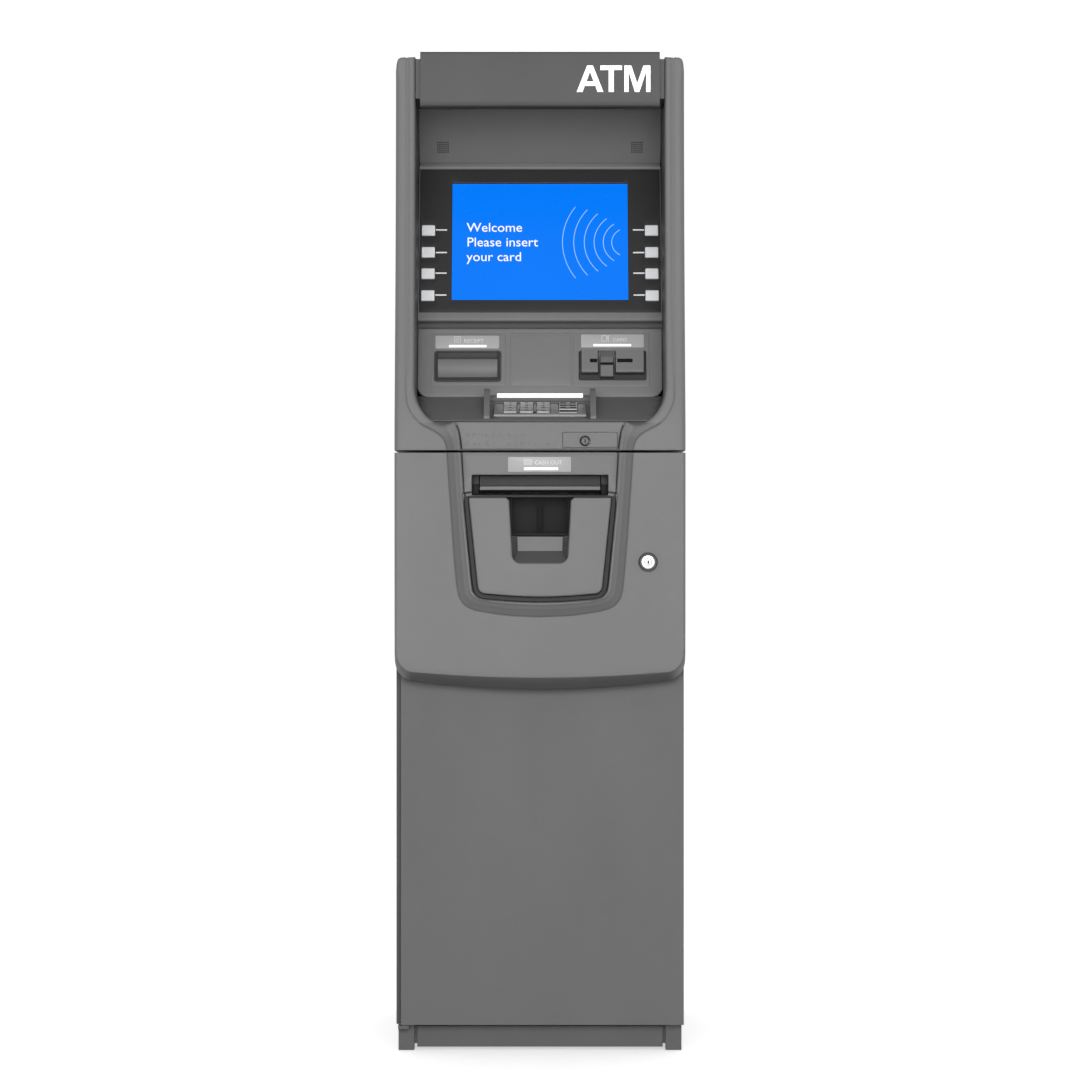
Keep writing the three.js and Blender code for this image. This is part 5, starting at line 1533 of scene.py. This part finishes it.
# computer: vents, connectors
# the vent slots are near-black boxes: painted shadow
for i in range(10):
    rbox(f"computer_slot_{i + 1}", 14 + i * 8.4, 18 + i * 8.4, Y(379.2), Y(380.4), 850, 930, "gap", "cabinet", bevel=0.0)
for i, (x, w, z) in enumerate(((-130, 18, 850), (-100, 24, 850), (-66, 14, 850), (-130, 14, 880), (-104, 14, 880), (-78, 30, 880), (-30, 14, 850))):
    rbox(f"computer_port_{i + 1}", x - w / 2, x + w / 2, Y(377.4), Y(380.3), z - 5, z + 5, "ink", "cabinet", bevel=0.6)
# back of the display
rbox("lcd_board", -95, 95, 25.6, 27.4, 60, 180, "green", "upper_door", SCREEN, bevel=0.2)
for i, (x, z) in enumerate(((-60, 150), (-20, 150), (30, 120), (60, 90), (-50, 95))):
    rbox(f"lcd_chip_{i + 1}", x - 10, x + 10, 27.4, 29.6, z - 8, z + 8, "ink", "upper_door", SCREEN, bevel=0.4)
for i, (x, z) in enumerate(((-128, 28), (128, 28), (-128, 216), (128, 216))):
    screw(f"lcd_screw_{i + 1}", x, 25.6, z, 2.6, "upper_door", "zinc", SCREEN, "Y", 1, 1.6)
# hinge lugs and pins of the fascias
for i, z in enumerate((840.4, 1338.4)):
    prism(f"upper_lug_{i + 1}", rounded([(-197.4, Y(214.4)), (-175.4, Y(214.4), 3), (-175.4, Y(227.6), 3), (-197.4, Y(227.6), 5)], 5), z, z + 9.2, "grey", "upper_door", axis="Z", bevel=0.6)
for i, z in enumerate((670.2, 791.2)):
    prism(f"lower_lug_{i + 1}", rounded([(-197.0, Y(50.4)), (-186.2, Y(50.4), 3), (-186.2, Y(63.6), 3), (-197.0, Y(63.6))], 5), z, z + (9.4 if i == 0 else 10.4), "grey", "lower_door", axis="Z", bevel=0.5)
    lathe(f"lower_pin_{i + 1}", [(0.01, z - 7.6), (2.5, z - 7.6), (2.95, z - 7.0), (2.95, z + 1)], "zinc", "lower_door", (-192, Y(58), 0), "Z", 20)

# ------------------------------------------------------------------ floor, light, camera
def disc(r, n=96):
    bm = bmesh.new()
    vs = [bm.verts.new((r * math.cos(2 * math.pi * i / n), r * math.sin(2 * math.pi * i / n), 0)) for i in range(n)]
    bm.faces.new(vs)
    return mesh_from_bm("stage_floor", bm)


fm, fnt, fb, ftc = _nodes("floor_white")
fnt.links.new(_mix(fnt, _noise(fnt, ftc.outputs["Object"], 0.6, 2), (0.86, 0.86, 0.86), (0.9, 0.9, 0.9)), fb.inputs["Base Color"])
fnt.links.new(_range(fnt, _noise(fnt, ftc.outputs["Object"], 30.0, 2), 0.6, 0.7), fb.inputs["Roughness"])
fb.inputs["Emission Color"].default_value = (1, 1, 1, 1)
fb.inputs["Emission Strength"].default_value = 0.55
fme = disc(24.0)
fme.materials.append(fm)
floor = bpy.data.objects.new("stage_floor", fme)
floor.location = (0, 0, -0.0006)
floor.visible_diffuse = False
bpy.context.scene.collection.objects.link(floor)

# studio dome: white behind the machine, dimmer towards its sides, dark below
world = bpy.data.worlds.new("studio")
world.use_nodes = True
wn = world.node_tree
wb = wn.nodes["Background"]
wtc = wn.nodes.new("ShaderNodeTexCoord")
sep = wn.nodes.new("ShaderNodeSeparateXYZ")
wn.links.new(wtc.outputs["Generated"], sep.inputs[0])
up = _range(wn, sep.outputs["Z"], 0.0, 1.0, -0.12, 0.06)
back = _range(wn, sep.outputs["Y"], 0.0, 1.0, 0.1, 0.55)
top = _range(wn, sep.outputs["Z"], 0.0, 1.0, 0.35, 0.8)
front = _blend(wn, up, (0.05, 0.05, 0.05), _blend(wn, top, (0.5, 0.5, 0.5), (0.27, 0.27, 0.27)))
rear = _blend(wn, _range(wn, sep.outputs["Z"], 0.0, 1.0, -0.5, -0.2), (0.3, 0.3, 0.3), (1.02, 1.02, 1.02))
wn.links.new(_blend(wn, back, front, rear), wb.inputs[0])
wb.inputs[1].default_value = 1.0
bpy.context.scene.world = world


def area(name, loc, target, w, h, power):
    li = bpy.data.lights.new(name, "AREA")
    li.shape = "RECTANGLE"
    li.size, li.size_y = w, h
    li.energy = power
    o = bpy.data.objects.new(name, li)
    o.location = loc
    o.rotation_euler = (Vector(target) - Vector(loc)).to_track_quat("-Z", "Y").to_euler()
    bpy.context.scene.collection.objects.link(o)
    return o


area("key_front", (0.0, -4.4, 1.3), (0, 0, 0.75), 2.2, 1.9, 99)
area("side_left", (-3.0, 0.6, 2.2), (0, 0, 0.8), 1.4, 2.0, 4.5)
area("side_right", (3.0, 0.6, 2.2), (0, 0, 0.8), 1.4, 2.0, 4.5)

cam = bpy.data.cameras.new("main_camera")
cam.lens = 133.8
cam.sensor_width = 36
cam.clip_end = 60
co = bpy.data.objects.new("main_camera", cam)
co.location = (0.0, -5.79, 0.71)
co.rotation_euler = (math.pi / 2, 0, 0)
bpy.context.scene.collection.objects.link(co)
bpy.context.scene.camera = co
sc = bpy.context.scene
sc.view_settings.view_transform = "Standard"
sc.view_settings.look = "None"

bpy.context.view_layer.update()
